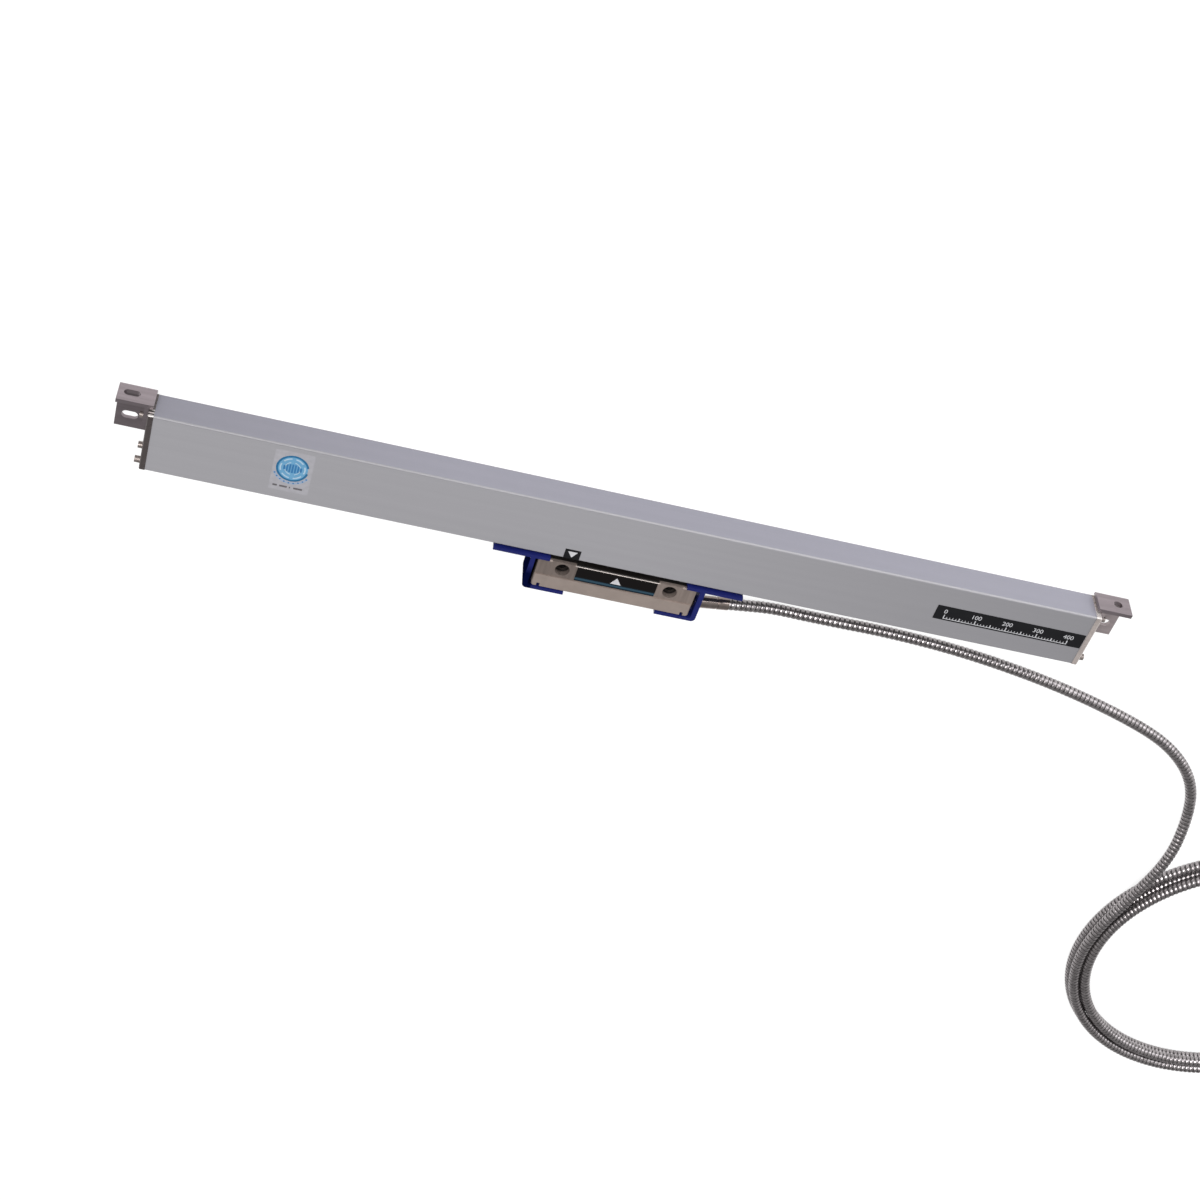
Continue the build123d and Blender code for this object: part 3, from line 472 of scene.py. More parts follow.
# Colours
ANODISED_FRONT = (0.308, 0.304, 0.322)
# Housing's top face: a copy of the front's colour, darker and bluer, as painted shade and painted
# light
ANODISED_TOP_SHADED = (0.23, 0.227, 0.266)
# Ridge: a painted highlight
ANODISED_RIDGE_HIGHLIGHT = (0.255, 0.251, 0.265)
BRACKET = (0.262, 0.224, 0.238)
# Right bracket's lower leg: the bracket's colour painted paler as painted light
BRACKET_LIT_LEG = (0.355, 0.306, 0.31)
HEAD = (0.372, 0.308, 0.275)
# Head: upper band darkened by painted shade, painted highlight on the rim, painted shade in its
# hollows
HEAD_BAND_SHADED = (0.225, 0.183, 0.163)
HEAD_RIM_HIGHLIGHT = (0.52, 0.47, 0.44)
HEAD_PAINTED_SHADE = (0.016, 0.013, 0.012)
# End caps: a shaded and a lit copy of one colour, and their painted highlight
CAP_LEFT_SHADED = (0.095, 0.081, 0.08)
CAP_RIGHT_LIT = (0.52, 0.46, 0.435)
CAP_HIGHLIGHT = (0.6, 0.565, 0.545)
NAVY = (0.0075, 0.0115, 0.098)
# Painted shade on the left clip's arm and outer side
NAVY_PAINTED_SHADE = (0.0015, 0.003, 0.026)

# Housing, in metres: start and end along X of the painted light and shade that change its
# lightness, and start and end of its top face from its top
RIGHT_HALF = (0.0, 0.27)
LEFT_HALF = (-0.1, -0.27)
RIDGE_HIGHLIGHT_RUN = (-0.2, 0.1)
TOP_EDGE = (-0.0008, -0.0003)
# Ridge's painted highlight: how far it cuts the corner of the top and the front, and its width
RIDGE_CUT = 0.0008
RIDGE_WIDTH = 0.0004
# Factors between which its drawn lines vary its colours, beyond the even pair also carrying painted
# shade and light along its length and the ridge's painted highlight, and the stretch of its finer
# grain
EVEN_LINES = (0.98, 1.02)
FRONT_RIGHT_SHADE = (0.77, 0.8)
TOP_RIGHT_LIGHT = (1.08, 1.12)
TOP_LEFT_SHADE = (0.79, 0.83)
RIDGE_LEFT_HIGHLIGHT = (0.86, 1.06)
RIDGE_RIGHT_HIGHLIGHT = (1.16, 1.36)
DRAWN = (0.02, 1, 1)


def drawn_aluminium(top_y):
    """Natural anodised extrusion: faint lines along its length, painted shade and light on its
    faces, and a painted highlight along its ridge.
    """
    m = Nodes("drawn_aluminium", Metallic=0.15)
    lines = m.noise(260, 5, 0.6, (0.008, 1, 1))
    # Painted light and shade along the length: the front darker to the right, the top lighter to
    # the right and darker to the left
    to_right = m.rise(m.axis(X), *RIGHT_HALF)
    to_left = m.rise(m.axis(X), *LEFT_HALF)
    along_ridge = m.rise(m.axis(X), *RIDGE_HIGHLIGHT_RUN)
    front = m.fade(
        to_right,
        lines,
        (ANODISED_FRONT, *EVEN_LINES),
        (ANODISED_FRONT, *FRONT_RIGHT_SHADE),
    )
    top = m.fade(to_right, lines, (ANODISED_TOP_SHADED, *EVEN_LINES), (ANODISED_TOP_SHADED, *TOP_RIGHT_LIGHT))
    top = m.blend(to_left, top, m.shades(lines, ANODISED_TOP_SHADED, *TOP_LEFT_SHADE))
    # Painted highlight along the ridge, brighter towards the right
    ridge_highlight = m.fade(
        along_ridge,
        lines,
        (ANODISED_RIDGE_HIGHLIGHT, *RIDGE_LEFT_HIGHLIGHT),
        (ANODISED_RIDGE_HIGHLIGHT, *RIDGE_RIGHT_HIGHLIGHT),
    )
    # The top face takes its copy with painted shade and light
    on_top = m.rise(m.axis(Y), *TOP_EDGE, top_y)
    ridge = top_y + FRONT_FACE * MM - RIDGE_CUT
    at_ridge = m.rise(m.math("ADD", m.axis(Y), m.axis(Z)), -RIDGE_WIDTH, 0.0, ridge)
    m.base(m.blend(at_ridge, m.blend(on_top, front, top), ridge_highlight))
    m.roughness(m.noise(420, 3, 0.5, DRAWN), 0.42, 0.46)
    m.bump(m.noise(1500, 3, 0.6, DRAWN), 0.01, 0.4)
    return m.material


def cast_metal(name, colour, grain, relief, metallic):
    """Blasted and coated casting with a fine grain."""
    m = Nodes(name, Metallic=metallic)
    m.colour(m.noise(90, 5, 0.6), tint(colour, 0.9), tint(colour, 1.08))
    m.roughness(m.noise(grain / 2, 3), 0.38, 0.52)
    m.bump(m.noise(grain, 3, 0.6), relief, 0.6)
    return m.material


# Stretch of a steel's grain
ROLLED = (0.05, 1, 1)
EVEN = (1, 1, 1)


def brushed_plate(name, colour, stretch, metallic, rough):
    """Plated steel with a rolled or an even grain."""
    m = Nodes(name, Metallic=metallic)
    m.colour(m.noise(500, 4, 0.6, stretch), tint(colour, 0.88), tint(colour, 1.1))
    m.roughness(m.noise(140, 4), *rough)
    m.bump(m.noise(1400, 3, 0.6, stretch), 0.02, 0.5)
    return m.material


# Brackets, in metres: start and end of the change to the right one's look along X, and of the
# change from its top to its leg painted paler as painted light
RIGHT_SIDE = (0.0, 0.01)
LIT_LEG = (-0.0024, -0.0028)


def bracket_steel(top_y):
    """Rolled steel angles; on the right, the leg below the top plate is painted paler as painted
    light, and made less metallic.
    """
    m = Nodes("bracket_steel")
    grain = m.noise(500, 4, 0.6, ROLLED)
    on_right = m.rise(m.axis(X), *RIGHT_SIDE)
    # Painted light on the right bracket's lower leg, which is also made less metallic
    pale = m.math("MULTIPLY", on_right, m.rise(m.axis(Y), *LIT_LEG, top_y))
    m.base(m.fade(pale, grain, (BRACKET, 0.88, 1.1), (BRACKET_LIT_LEG, 0.88, 1.1)))
    m.link(m.span(pale, 0.82, 0.5, 0.0, 1.0), m.shader.inputs["Metallic"])
    m.roughness(m.noise(140, 4), 0.3, 0.45)
    m.bump(m.noise(1400, 3, 0.6, ROLLED), 0.02, 0.5)
    return m.material


def ribbed_steel():
    """Polished bands of the interlocked hose."""
    m = Nodes("ribbed_steel", Metallic=0.95)
    m.colour(m.noise(300, 4, 0.6), (0.23, 0.212, 0.214), (0.44, 0.41, 0.415))
    m.roughness(m.noise(500, 3), 0.24, 0.36)
    return m.material


def groove_shade():
    """Painted shade in the grooves between the bands."""
    m = Nodes("groove_painted_shade", Metallic=0.3)
    m.colour(m.noise(800, 3), (0.022, 0.02, 0.02), (0.06, 0.054, 0.055))
    m.roughness(m.noise(400, 3), 0.5, 0.7)
    return m.material


# Head, in metres. From its lower edge: start of the upper band, start and end of the rim's painted
# highlight, and start of the wall painted dark as shade
BAND_FROM = (0.0088, 0.009)
RIM_FROM = (0.01905, 0.0191)
RIM_TO = (0.0195, 0.0196)
WALL_FROM = (0.0198, 0.0199)
# Out of the mounting face: below these the screw holes and the wall are painted dark as shade
HOLE_BELOW = (0.0176, 0.0163)
WALL_SHADE_BELOW = (0.0186, 0.0181)
# Along X from its middle: half of the rim's painted highlight, the shares of it between which it
# ends, and the run in which painted light makes the upper band lighter
RIM_HALF = 0.025
RIM_ENDS = (0.94, 0.98)
BAND_FADE = 0.02


def shaded_casting(low_y, middle_x):
    """Head casting: streaked upper band darkened by painted shade, a painted highlight on the rim,
    and screw holes and the wall facing the housing painted dark as shade.
    """
    m = Nodes("head_cast", Metallic=0.5)
    patches = m.noise(90, 5, 0.6)
    streaks = m.noise(420, 3, 0.6, (1, 0.08, 1))
    y, z = m.axis(Y), m.axis(Z)
    # Upper band: its streaks are its grain; its darkness is painted shade, lightened by painted
    # light to the right of the middle
    to_right = m.rise(m.axis(X), 0.0, BAND_FADE, middle_x)
    band = m.fade(to_right, streaks, (HEAD_BAND_SHADED, 0.84, 1.08), (HEAD_BAND_SHADED, 1.08, 1.36))
    in_band = m.rise(y, *BAND_FROM, low_y)
    coat = m.blend(in_band, m.shades(patches, HEAD, 0.92, 1.07), band)
    # Painted highlight on the rim over the label plate, and painted shade on the wall past it
    across = m.span(m.axis(X), -1, 1, middle_x - RIM_HALF, middle_x + RIM_HALF)
    within = m.span(m.math("ABSOLUTE", across), 1, 0, *RIM_ENDS)
    on_rim = m.math("MULTIPLY", within, m.rise(y, *RIM_FROM, low_y))
    past_rim = m.rise(y, *RIM_TO, low_y)
    rim = m.fade(past_rim, patches, (HEAD_RIM_HIGHLIGHT, 0.9, 1.1), (HEAD_PAINTED_SHADE, 0.9, 1.1))
    coat = m.blend(on_rim, coat, rim)
    # Screw holes and the wall facing the housing painted dark as shade
    in_hole = m.rise(z, *HOLE_BELOW)
    on_wall = m.math("MULTIPLY", m.rise(y, *WALL_FROM, low_y), m.rise(z, *WALL_SHADE_BELOW))
    dark = m.math("MAXIMUM", in_hole, on_wall)
    m.base(m.blend(dark, coat, m.shades(patches, HEAD_PAINTED_SHADE, 0.8, 1.2)))
    m.roughness(m.noise(450, 3), 0.36, 0.5)
    m.bump(m.noise(900, 3, 0.6), 0.04, 0.6)
    return m.material


# End caps, in metres: start and end of their upper side from their top, of its painted highlight
# out of the mounting face, and of the change from the left one's painted shade to the right one's
# painted light along X
CAP_TOP = (-0.0009, -0.0005)
CAP_FRONT = (0.0136, 0.0144)
CAP_SIDES = (-0.01, 0.01)
# Scale of the wave that makes the left one's painted reflection bands
CAP_REFLECTION_BANDS = 136


def end_cap_metal(top_y):
    """Plated end caps, the left one painted dark as shade and the right one painted light; their
    upper side has a painted highlight, on the left in painted reflection bands.
    """
    m = Nodes("cap_metal", Metallic=0.5)
    patches = m.noise(140, 4, 0.6)
    # Painted highlight on the upper side, as painted reflection bands on the left; the sides a
    # painted-shade copy on the left and a lit copy on the right
    on_top = m.rise(m.axis(Y), *CAP_TOP, top_y)
    on_highlight = m.math("MULTIPLY", on_top, m.rise(m.axis(Z), *CAP_FRONT))
    to_right = m.rise(m.axis(X), *CAP_SIDES)
    sides = m.fade(to_right, patches, (CAP_LEFT_SHADED, 0.86, 1.1), (CAP_RIGHT_LIT, 0.86, 1.1))
    reflection_bands = m.shades(m.wave(CAP_REFLECTION_BANDS, "Z"), CAP_HIGHLIGHT, 0.05, 0.72)
    bright = m.blend(to_right, reflection_bands, m.shades(patches, CAP_HIGHLIGHT, 0.94, 1.05))
    m.base(m.blend(on_highlight, sides, bright))
    m.roughness(m.noise(300, 3), 0.22, 0.34)
    m.bump(m.noise(600, 3, 0.6), 0.03, 0.5)
    return m.material


# Left clip's painted shade, in metres: start and end of its lower arm and of its outer side, along
# X from the head's left end and down from the housing's lower edge
ARM_ACROSS = (0.0006, 0.0)
ARM_DOWN = (-0.009, -0.015)
OUTER_ACROSS = (-0.0045, -0.0048)
OUTER_DOWN = (-0.003, -0.004)


def clip_plastic(head_x, edge_y):
    """Blue moulded clips; the left one's lower arm and outer side are painted much darker as shade,
    without specular reflection.
    """
    m = Nodes("clip_plastic")
    patches = m.noise(160, 4)
    x, y = m.axis(X), m.axis(Y)
    arm = m.math("MULTIPLY", m.rise(x, *ARM_ACROSS, head_x), m.rise(y, *ARM_DOWN, edge_y))
    side = m.math("MULTIPLY", m.rise(x, *OUTER_ACROSS, head_x), m.rise(y, *OUTER_DOWN, edge_y))
    shade = m.math("MAXIMUM", arm, side)
    m.base(m.fade(shade, patches, (NAVY, 0.92, 1.08), (NAVY_PAINTED_SHADE, 0.92, 1.08)))
    # Painted shade there also drops the specular reflection
    m.link(m.span(shade, 0.3, 0.0, 0.0, 1.0), m.shader.inputs["Specular IOR Level"])
    m.roughness(m.noise(300, 3), 0.3, 0.42)
    m.bump(m.noise(500, 3, 0.5), 0.03, 0.4)
    return m.material


# Label plate: height of the stripe on its lower bevel in metres, and colours at shares of it, the
# lighter middle ones a painted highlight
STRIPE_HEIGHT = 0.004
STRIPE_WITH_HIGHLIGHT = [
    (0.0, (0.004, 0.007, 0.01)),
    (0.14, (0.006, 0.013, 0.02)),
    (0.26, (0.015, 0.038, 0.06)),
    (0.46, (0.036, 0.076, 0.108)),
    (0.6, (0.021, 0.049, 0.074)),
    (0.72, (0.01, 0.022, 0.034)),
    (0.76, (0.007, 0.007, 0.007)),
    (1.0, (0.007, 0.006, 0.006)),
]


def plate_and_bevel_highlight(edge_y):
    """Glossy black plate with a dark teal stripe along its lower bevel that brightens to a painted
    highlight.
    """
    m = Nodes("plate_and_bevel_highlight", Specular_IOR_Level=0.08)
    # Dark teal on the lower bevel, lighter in its middle as a painted highlight
    m.base(m.ramp(m.rise(m.axis(Y), 0.0, STRIPE_HEIGHT, edge_y), STRIPE_WITH_HIGHLIGHT))
    m.roughness(m.noise(200, 3), 0.16, 0.24)
    return m.material


def moulded(name, colour, rough, relief, grain):
    """Moulded plastic or rubber with a fine spark-eroded grain."""
    m = Nodes(name)
    m.colour(m.noise(160, 4), tint(colour, 0.92), tint(colour, 1.08))
    m.roughness(m.noise(300, 3), *rough)
    m.bump(m.noise(grain, 3, 0.5), relief, 0.4)
    return m.material


def rubber(name, colour):
    """Dull moulded rubber."""
    return moulded(name, colour, (0.62, 0.78), 0.04, 500)


def clear_glass():
    """Float glass with a faint green body and fine graduations."""
    m = Nodes("clear_glass", Transmission_Weight=0.9, IOR=1.5)
    m.colour(m.wave(1600, "X"), (0.55, 0.62, 0.6), (0.82, 0.9, 0.87), 0.2, 0.8)
    m.roughness(m.noise(80, 2), 0.02, 0.06)
    return m.material


def circuit_board():
    """Green solder mask over copper tracks."""
    m = Nodes("circuit_board")
    tracks = m.noise(420, 1, 0.4, (1, 1, 0.2))
    m.colour(tracks, (0.012, 0.07, 0.03), (0.03, 0.16, 0.07), 0.46, 0.5)
    m.roughness(m.noise(200, 2), 0.25, 0.4)
    return m.material


def lamp_resin():
    """Clear resin of the scanning lamp."""
    m = Nodes("lamp_resin", Transmission_Weight=0.6, IOR=1.5)
    m.colour(m.noise(400, 2), (0.7, 0.72, 0.78), (0.85, 0.87, 0.92))
    m.roughness(m.noise(500, 2), 0.08, 0.16)
    return m.material


def printed(name, colour, gloss, **values):
    """Printed film with a faint unevenness in its ink."""
    m = Nodes(name, **values)
    m.colour(m.noise(350, 3), tint(colour, 0.93), tint(colour, 1.05))
    m.roughness(m.noise(200, 3), *gloss)
    return m.material


def dress_nodes():
    """Gives every solid of the frame its finish."""
    head_low, head_high = (Vector(corner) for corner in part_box("head_block"))
    bracket_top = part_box("mounting_bracket_right")[1][1]
    finishes = {
        "anodised_aluminium": drawn_aluminium(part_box("housing_extrusion")[1][1]),
        "glass": clear_glass(),
        "silicone": rubber("bedding_silicone", (0.42, 0.42, 0.4)),
        "seal_rubber": rubber("seal_rubber", (0.018, 0.018, 0.02)),
        "cap_dark": end_cap_metal(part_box("end_cap_left")[1][1]),
        "screw_steel": brushed_plate("screw_steel", (0.26, 0.225, 0.21), EVEN, 0.7, (0.34, 0.5)),
        "bracket_steel": bracket_steel(bracket_top),
        "head_cast": shaded_casting(head_low.y, (head_low.x + head_high.x) / 2),
        "label_plastic": plate_and_bevel_highlight(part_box("head_label_plate")[0][1]),
        "circuit_board": circuit_board(),
        "blade_steel": brushed_plate("blade_steel", (0.42, 0.42, 0.42), ROLLED, 0.9, (0.2, 0.32)),
        "carriage_cast": cast_metal("carriage_cast", (0.42, 0.42, 0.43), 700, 0.05, 0.6),
        "lamp_resin": lamp_resin(),
        "roller_steel": brushed_plate("roller_steel", (0.6, 0.6, 0.6), EVEN, 1.0, (0.1, 0.2)),
        "clip_plastic": clip_plastic(head_low.x, LOWER_EDGE),
        "sleeve_chrome": brushed_plate("sleeve_chrome", (0.3, 0.25, 0.23), EVEN, 0.95, (0.12, 0.2)),
        "conduit_steel": ribbed_steel(),
        "boot_rubber": rubber("boot_rubber", (0.02, 0.02, 0.022)),
        "hood_metal": cast_metal("hood_metal", (0.33, 0.33, 0.34), 800, 0.04, 0.5),
        "shell_metal": brushed_plate("shell_metal", (0.55, 0.53, 0.5), EVEN, 0.9, (0.2, 0.32)),
        "socket_plastic": moulded("socket_plastic", (0.02, 0.02, 0.022), (0.4, 0.5), 0.03, 700),
    }
    slots = {row["node"]: row["material_slot"] for row in frame["record"]["subparts"]}
    for name, node in frame["nodes"].items():
        node.data.materials.clear()
        node.data.materials.append(finishes[slots[name]])


# Stickers and prints: how thick a film and its ink are
FILM = 0.08
INK = 0.03

# Front plate: its left, right, lower and upper side, and the radius of its corners
NAMEPLATE = (176.6, 266.1, 12.5, 22.7)
PLATE_CORNER = 0.4
# Its graduation: ends in from the plate's sides, steps, lower and upper edge of the base line
SCALE_INSET = (6.0, 9.0)
SCALE_STEPS = 40
BASE_LINE = (1.0, 1.4)
# Steps from one tall or middle tick to the next, and the ticks' height and half width
TALL_EVERY = 10
MIDDLE_EVERY = 5
TALL_TICK = (2.6, 0.28)
MIDDLE_TICK = (1.9, 0.28)
SHORT_TICK = (1.2, 0.16)
# Numbers at the tall ticks: value of a step, height above the plate's edge, size of the
# numerals, half of one's width, and steps of their curves
STEP_VALUE = 10
NUMBER_UP = 5.0
NUMBER_SIZE = 4.2
NUMBER_HALF = 1.15
NUMBER_STEPS = 4

# Index label: its sides. Index triangles: base from the label's upper or the head plate's lower
# edge, half width and height
INDEX_LABEL = (-35.7, -26.7, 0.3, 6.9)
HOUSING_MARK = (-1.5, 2.7, -4.1)
HEAD_MARK = (3.4, 3.1, 4.6)

# Round seal: its circle, the sides and corners of its backing film, and the row of bars under it,
# each from start to end along X from the centre
SEAL_CENTRE = (-190.3, 22.1)
SEAL_RADIUS = 8.87
SEAL_BACKING = (-201.0, -179.6, 5.8, 33.4)
BACKING_CORNER = 0.8
SEAL_ROW = ((-8.7, -6.3), (-5.0, -0.9), (0.2, 0.9), (2.6, 7.4))
SEAL_ROW_Y = 8.9
SEAL_ROW_HALF = 0.6
# Its disc and its bands, by inner and outer radius as shares of the circle's, start and end angle
# in degrees, and steps
SEAL_DISC = 0.93
SEAL_RING = [(0.87, 1.0, 14, 348, 60)]
SEAL_HALO = [(1.06, 1.22, 203, 330, 40)]
SEAL_ARCS = [(0.7, 0.79, 40 + 60 * k, 82 + 60 * k, 12) for k in range(6)]
SEAL_ARCS += [(0.44, 0.5, 20 + 90 * k, 80 + 90 * k, 12) for k in range(4)]
# Upright bars in its middle: count, pitch, half width, half of the longest as a share of the
# radius, and angle in radians by whose cosine each next one is shorter
BAR_COUNT = 7
BAR_PITCH = 1.5
BAR_HALF = 0.5
BAR_REACH = 0.34
BAR_TURN = 0.36
# Dots on the halo: count, first angle and angle between them in degrees, distance from the
# centre as a share of the radius, size and steps
DOT_COUNT = 9
DOT_START = 208
DOT_TURN = 14.7
DOT_REACH = 1.14
DOT_RADIUS = 0.48
DOT_STEPS = 12
# Its layers: underside and top from the backing, and ink
SEAL_LAYERS = {
    "disc": (0.0, 0.02, "light_blue_print"),
    "ring": (0.0, 0.04, "dark_blue_print"),
    "arcs": (0.02, 0.035, "pale_blue_print"),
    "bars": (0.02, 0.035, "mid_blue_print"),
    "halo": (0.0, 0.01, "halo_blue_print"),
    "dots": (0.01, 0.02, "mid_blue_print"),
    "row": (0.0, 0.02, "grey_print"),
}


def flat_piece(name, loops, z0, z1, material, body="housing"):
    """Thin flat piece: each loop of (x, y) points, raised from z0 to z1."""
    bm = bmesh.new()
    for loop in loops:
        low = [bm.verts.new(place(x, y, z0)) for x, y in loop]
        high = [bm.verts.new(place(x, y, z1)) for x, y in loop]
        bm.faces.new(list(reversed(low)))
        bm.faces.new(high)
        for k in range(len(loop)):
            n = (k + 1) % len(loop)
            bm.faces.new((low[k], low[n], high[n], high[k]))
    add_piece(name, mesh_of(bm, name), material, body)


def rectangle(x0, x1, y0, y1):
    """Corners of a rectangle."""
    return [(x0, y0), (x1, y0), (x1, y1), (x0, y1)]


def rounded(x0, x1, y0, y1, radius, steps=5):
    """Rectangle with round corners."""
    low_x, high_x, low_y, high_y = x0 + radius, x1 - radius, y0 + radius, y1 - radius
    corners = ((high_x, high_y), (low_x, high_y), (low_x, low_y), (high_x, low_y))
    points = []
    for quarter, (cx, cy) in enumerate(corners):
        for k in range(steps + 1):
            a = radians(90 * quarter + 90 * k / steps)
            points.append((cx + radius * cos(a), cy + radius * sin(a)))
    return points


def arc(centre, radius, angles):
    """Points of a circle at some angles in radians."""
    return [(centre[0] + radius * cos(a), centre[1] + radius * sin(a)) for a in angles]


def arc_band(inner, outer, start, end, steps):
    """Band of the seal between two shares of its radius, from one angle to another."""
    angles = [radians(start + (end - start) * k / steps) for k in range(steps + 1)]
    far = arc(SEAL_CENTRE, SEAL_RADIUS * outer, angles)
    return far + arc(SEAL_CENTRE, SEAL_RADIUS * inner, reversed(angles))


def disc(centre, radius, steps=64):
    """Points all round a circle."""
    return arc(centre, radius, [2 * pi * k / steps for k in range(steps)])


def number_piece(name, text, x, y, z, material):
    """Flat numerals as thin solids, their lower left corner at a point."""
    curve = bpy.data.curves.new(name, "FONT")
    curve.body = text
    curve.size = NUMBER_SIZE * MM
    curve.extrude = INK / 2 * MM
    curve.resolution_u = NUMBER_STEPS
    holder = bpy.data.objects.new(name + "_curve", curve)
    bpy.context.scene.collection.objects.link(holder)
    mesh = bpy.data.meshes.new_from_object(holder)
    bpy.data.objects.remove(holder)
    bpy.data.curves.remove(curve)
    mesh.transform(Matrix.Translation(place(x, y, z + INK / 2)))
    mesh.materials.clear()
    add_piece(name, mesh, material, "housing")


def tick_size(step):
    """Height and half width of the tick at a step of the graduation."""
    if step % TALL_EVERY == 0:
        return TALL_TICK
    return MIDDLE_TICK if step % MIDDLE_EVERY == 0 else SHORT_TICK


def make_nameplate(black, white):
    """Black plate with a plain measuring graduation in place of lettering."""
    x0, x1, y0, y1 = NAMEPLATE
    top = FRONT_FACE + FILM * 2
    flat_piece("front_plate", [rounded(x0, x1, y0, y1, PLATE_CORNER)], FRONT_FACE, top, black)
    first, last = x0 + SCALE_INSET[0], x1 - SCALE_INSET[1]
    step_x = [first + (last - first) * k / SCALE_STEPS for k in range(SCALE_STEPS + 1)]
    line_y0, line_y1 = y0 + BASE_LINE[0], y0 + BASE_LINE[1]
    ticks = []
    for k, x in enumerate(step_x):
        height, half = tick_size(k)
        ticks.append(rectangle(x - half, x + half, line_y1, line_y1 + height))
    ticks.append(rectangle(first - TALL_TICK[1], last + TALL_TICK[1], line_y0, line_y1))
    flat_piece("front_plate_ticks", ticks, top, top + INK, white)
    for k in range(0, SCALE_STEPS + 1, TALL_EVERY):
        label = str(STEP_VALUE * k)
        x = step_x[k] - NUMBER_HALF * len(label)
        number_piece("front_plate_number_" + label, label, x, y0 + NUMBER_UP, top, white)


def triangle(cx, base_y, half, height):
    """Triangle on a level base; a negative height points it down."""
    return [(cx - half, base_y), (cx + half, base_y), (cx, base_y + height)]


def make_index_marks(black, white):
    """Index triangles of the housing and of the head's label."""
    x0, x1, y0, y1 = INDEX_LABEL
    top = FRONT_FACE + FILM
    flat_piece("index_label", [rectangle(x0, x1, y0, y1)], FRONT_FACE, top, black)
    base, half, height = HOUSING_MARK
    mark = triangle((x0 + x1) / 2, y1 + base, half, height)
    flat_piece("index_mark", [mark], top, top + INK, white)
    low, high = (Vector(corner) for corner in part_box("head_label_plate"))
    base, half, height = HEAD_MARK
    plate_z = high.z / MM
    mark = triangle((low.x + high.x) / 2 / MM, (low.y - LOWER_EDGE) / MM + base, half, height)
    flat_piece("head_index_mark", [mark], plate_z, plate_z + INK, white, "reading_head")


def make_seal(inks):
    """Round sticker of plain rings, bars and dots on a film, with a row of bars under it."""
    x, y = SEAL_CENTRE
    z = FRONT_FACE + FILM / 2
    backing = rounded(*SEAL_BACKING, BACKING_CORNER)
    flat_piece("seal_backing", [backing], FRONT_FACE, z, inks["film_backing"])
    bars = []
    for k in range(BAR_COUNT):
        step = k - BAR_COUNT // 2
        bar_x = x + step * BAR_PITCH
        half = BAR_REACH * SEAL_RADIUS * cos(step * BAR_TURN)
        bars.append(rectangle(bar_x - BAR_HALF, bar_x + BAR_HALF, y - half, y + half))
    dot_angles = [radians(DOT_START + DOT_TURN * k) for k in range(DOT_COUNT)]
    dots = arc(SEAL_CENTRE, SEAL_RADIUS * DOT_REACH, dot_angles)
    row_y = (SEAL_ROW_Y - SEAL_ROW_HALF, SEAL_ROW_Y + SEAL_ROW_HALF)
    shapes = {
        "disc": [disc(SEAL_CENTRE, SEAL_RADIUS * SEAL_DISC)],
        "ring": [arc_band(*band) for band in SEAL_RING],
        "arcs": [arc_band(*band) for band in SEAL_ARCS],
        "bars": bars,
        "halo": [arc_band(*band) for band in SEAL_HALO],
        "dots": [disc(dot, DOT_RADIUS, DOT_STEPS) for dot in dots],
        "row": [rectangle(x + start, x + end, *row_y) for start, end in SEAL_ROW],
    }
    for name, (low, high, ink) in SEAL_LAYERS.items():
        flat_piece("seal_" + name, shapes[name], z + low, z + high, inks[ink])


# Colour and range of roughness of each ink
INKS = {
    "white_print": ((0.5, 0.5, 0.52), (0.4, 0.5)),
    "dark_blue_print": ((0.014, 0.115, 0.24), (0.3, 0.4)),
    "mid_blue_print": ((0.03, 0.145, 0.32), (0.3, 0.4)),
    "light_blue_print": ((0.115, 0.285, 0.45), (0.3, 0.4)),
    "halo_blue_print": ((0.26, 0.32, 0.42), (0.3, 0.4)),
    "pale_blue_print": ((0.34, 0.46, 0.56), (0.3, 0.4)),
    "grey_print": ((0.1, 0.094, 0.1), (0.4, 0.5)),
    "film_backing": ((0.322, 0.317, 0.34), (0.3, 0.42)),
}


def make_stickers():
    """Front plate, index marks and seal."""
    black_colour = (0.007, 0.0072, 0.0085)
    black = printed("black_print", black_colour, (0.3, 0.42), Specular_IOR_Level=0.25)
    inks = {name: printed(name, *look) for name, look in INKS.items()}
    make_nameplate(black, inks["white_print"])
    make_index_marks(black, inks["white_print"])
    make_seal(inks)


# Floor: length of its sides and drop below the object, in metres, its paint, and the paint and
# glow that the camera, reflections and glass see
FLOOR_SIZE = 40.0
FLOOR_DROP = 0.0002
FLOOR_PAINT = (0.78, 0.78, 0.78, 1)
SEEN_PAINT = (0.3, 0.3, 0.3, 1)
SEEN_GLOW = 0.78


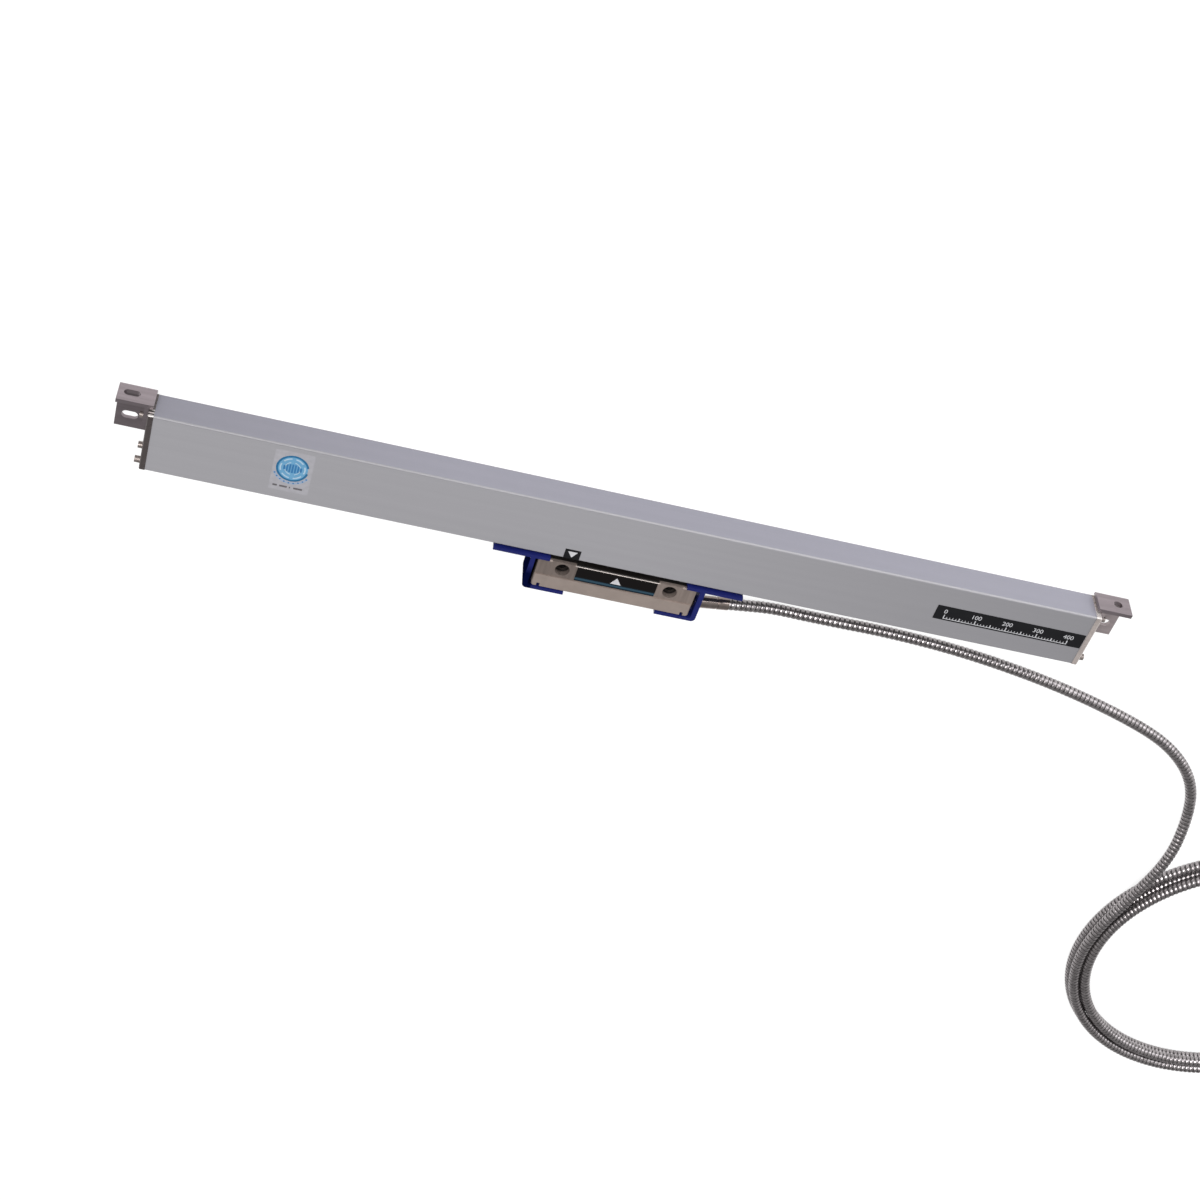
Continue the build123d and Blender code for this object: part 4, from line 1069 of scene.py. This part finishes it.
def floor_white():
    """White to the eye with the object's shadow kept; to other rays a plain pale paint."""
    material = bpy.data.materials.new("floor_white")
    material.use_nodes = True
    tree = material.node_tree
    tree.nodes.clear()
    link = tree.links.new
    out = tree.nodes.new("ShaderNodeOutputMaterial")
    paint = tree.nodes.new("ShaderNodeBsdfDiffuse")
    paint.inputs[0].default_value = FLOOR_PAINT
    seen_paint = tree.nodes.new("ShaderNodeBsdfDiffuse")
    seen_paint.inputs[0].default_value = SEEN_PAINT
    glow = tree.nodes.new("ShaderNodeEmission")
    glow.inputs["Strength"].default_value = SEEN_GLOW
    both = tree.nodes.new("ShaderNodeAddShader")
    link(seen_paint.outputs[0], both.inputs[0])
    link(glow.outputs[0], both.inputs[1])
    path = tree.nodes.new("ShaderNodeLightPath")
    seen = path.outputs["Is Camera Ray"]
    for ray in ("Is Glossy Ray", "Is Transmission Ray"):
        either = tree.nodes.new("ShaderNodeMath")
        either.operation = "MAXIMUM"
        link(seen, either.inputs[0])
        link(path.outputs[ray], either.inputs[1])
        seen = either.outputs[0]
    mix = tree.nodes.new("ShaderNodeMixShader")
    link(seen, mix.inputs[0])
    link(paint.outputs[0], mix.inputs[1])
    link(both.outputs[0], mix.inputs[2])
    link(mix.outputs[0], out.inputs[0])
    return material


def make_floor():
    """Plain pale floor."""
    half = FLOOR_SIZE / 2
    corners = [(-half, -half, 0), (half, -half, 0), (half, half, 0), (-half, half, 0)]
    mesh = bpy.data.meshes.new("floor")
    mesh.from_pydata(corners, [], [(0, 1, 2, 3)])
    floor = bpy.data.objects.new("floor", mesh)
    floor.location.z = -FLOOR_DROP
    bpy.context.scene.collection.objects.link(floor)
    floor.data.materials.append(floor_white())


def area_light(name, location, target, size, power, colour):
    """Rectangular lamp that looks at a point; places and sizes in metres."""
    data = bpy.data.lights.new(name, "AREA")
    data.shape = "RECTANGLE"
    data.size, data.size_y = size
    data.energy = power
    data.color = colour
    lamp = bpy.data.objects.new(name, data)
    lamp.location = location
    direction = Vector(target) - Vector(location)
    lamp.rotation_euler = direction.to_track_quat("-Z", "Y").to_euler()
    bpy.context.scene.collection.objects.link(lamp)


# Sky: the way in which it darkens, where the fall starts and ends, and its strength there
SKY_LEAN = (0.0, -0.45, 0.8)
SKY_FALL = (0.1, 0.85)
SKY_STRENGTH = (0.85, 0.25)
# Lamps: name, place, point looked at, size, power in watts and colour
LAMPS = (
    ("key", (-0.8, 1.5, 2.45), (-0.05, 0, 0), (1.8, 1.3), 78, (1.0, 0.99, 0.99)),
    ("low_right", (1.2, 1.1, 0.6), (0.25, 0, 0.01), (1.8, 0.9), 12, (0.96, 0.97, 1.0)),
)


def make_light():
    """Soft studio: a sky that darkens upwards and behind, and two lamps."""
    world = bpy.data.worlds.new("studio")
    bpy.context.scene.world = world
    world.use_nodes = True
    tree = world.node_tree
    background = tree.nodes["Background"]
    background.inputs[0].default_value = (1, 1, 1, 1)
    coords = tree.nodes.new("ShaderNodeTexCoord")
    lean = tree.nodes.new("ShaderNodeVectorMath")
    lean.operation = "DOT_PRODUCT"
    lean.inputs[1].default_value = SKY_LEAN
    fall = tree.nodes.new("ShaderNodeMapRange")
    ends = ("From Min", "From Max", "To Min", "To Max")
    for end, value in zip(ends, SKY_FALL + SKY_STRENGTH):
        fall.inputs[end].default_value = value
    tree.links.new(coords.outputs["Generated"], lean.inputs[0])
    tree.links.new(lean.outputs["Value"], fall.inputs["Value"])
    tree.links.new(fall.outputs[0], background.inputs[1])
    for lamp in LAMPS:
        area_light(*lamp)


bpy.context.scene.view_settings.view_transform = "Standard"
make_camera()
dress_nodes()
make_lead(make_knurls())
make_stickers()
make_floor()
make_light()
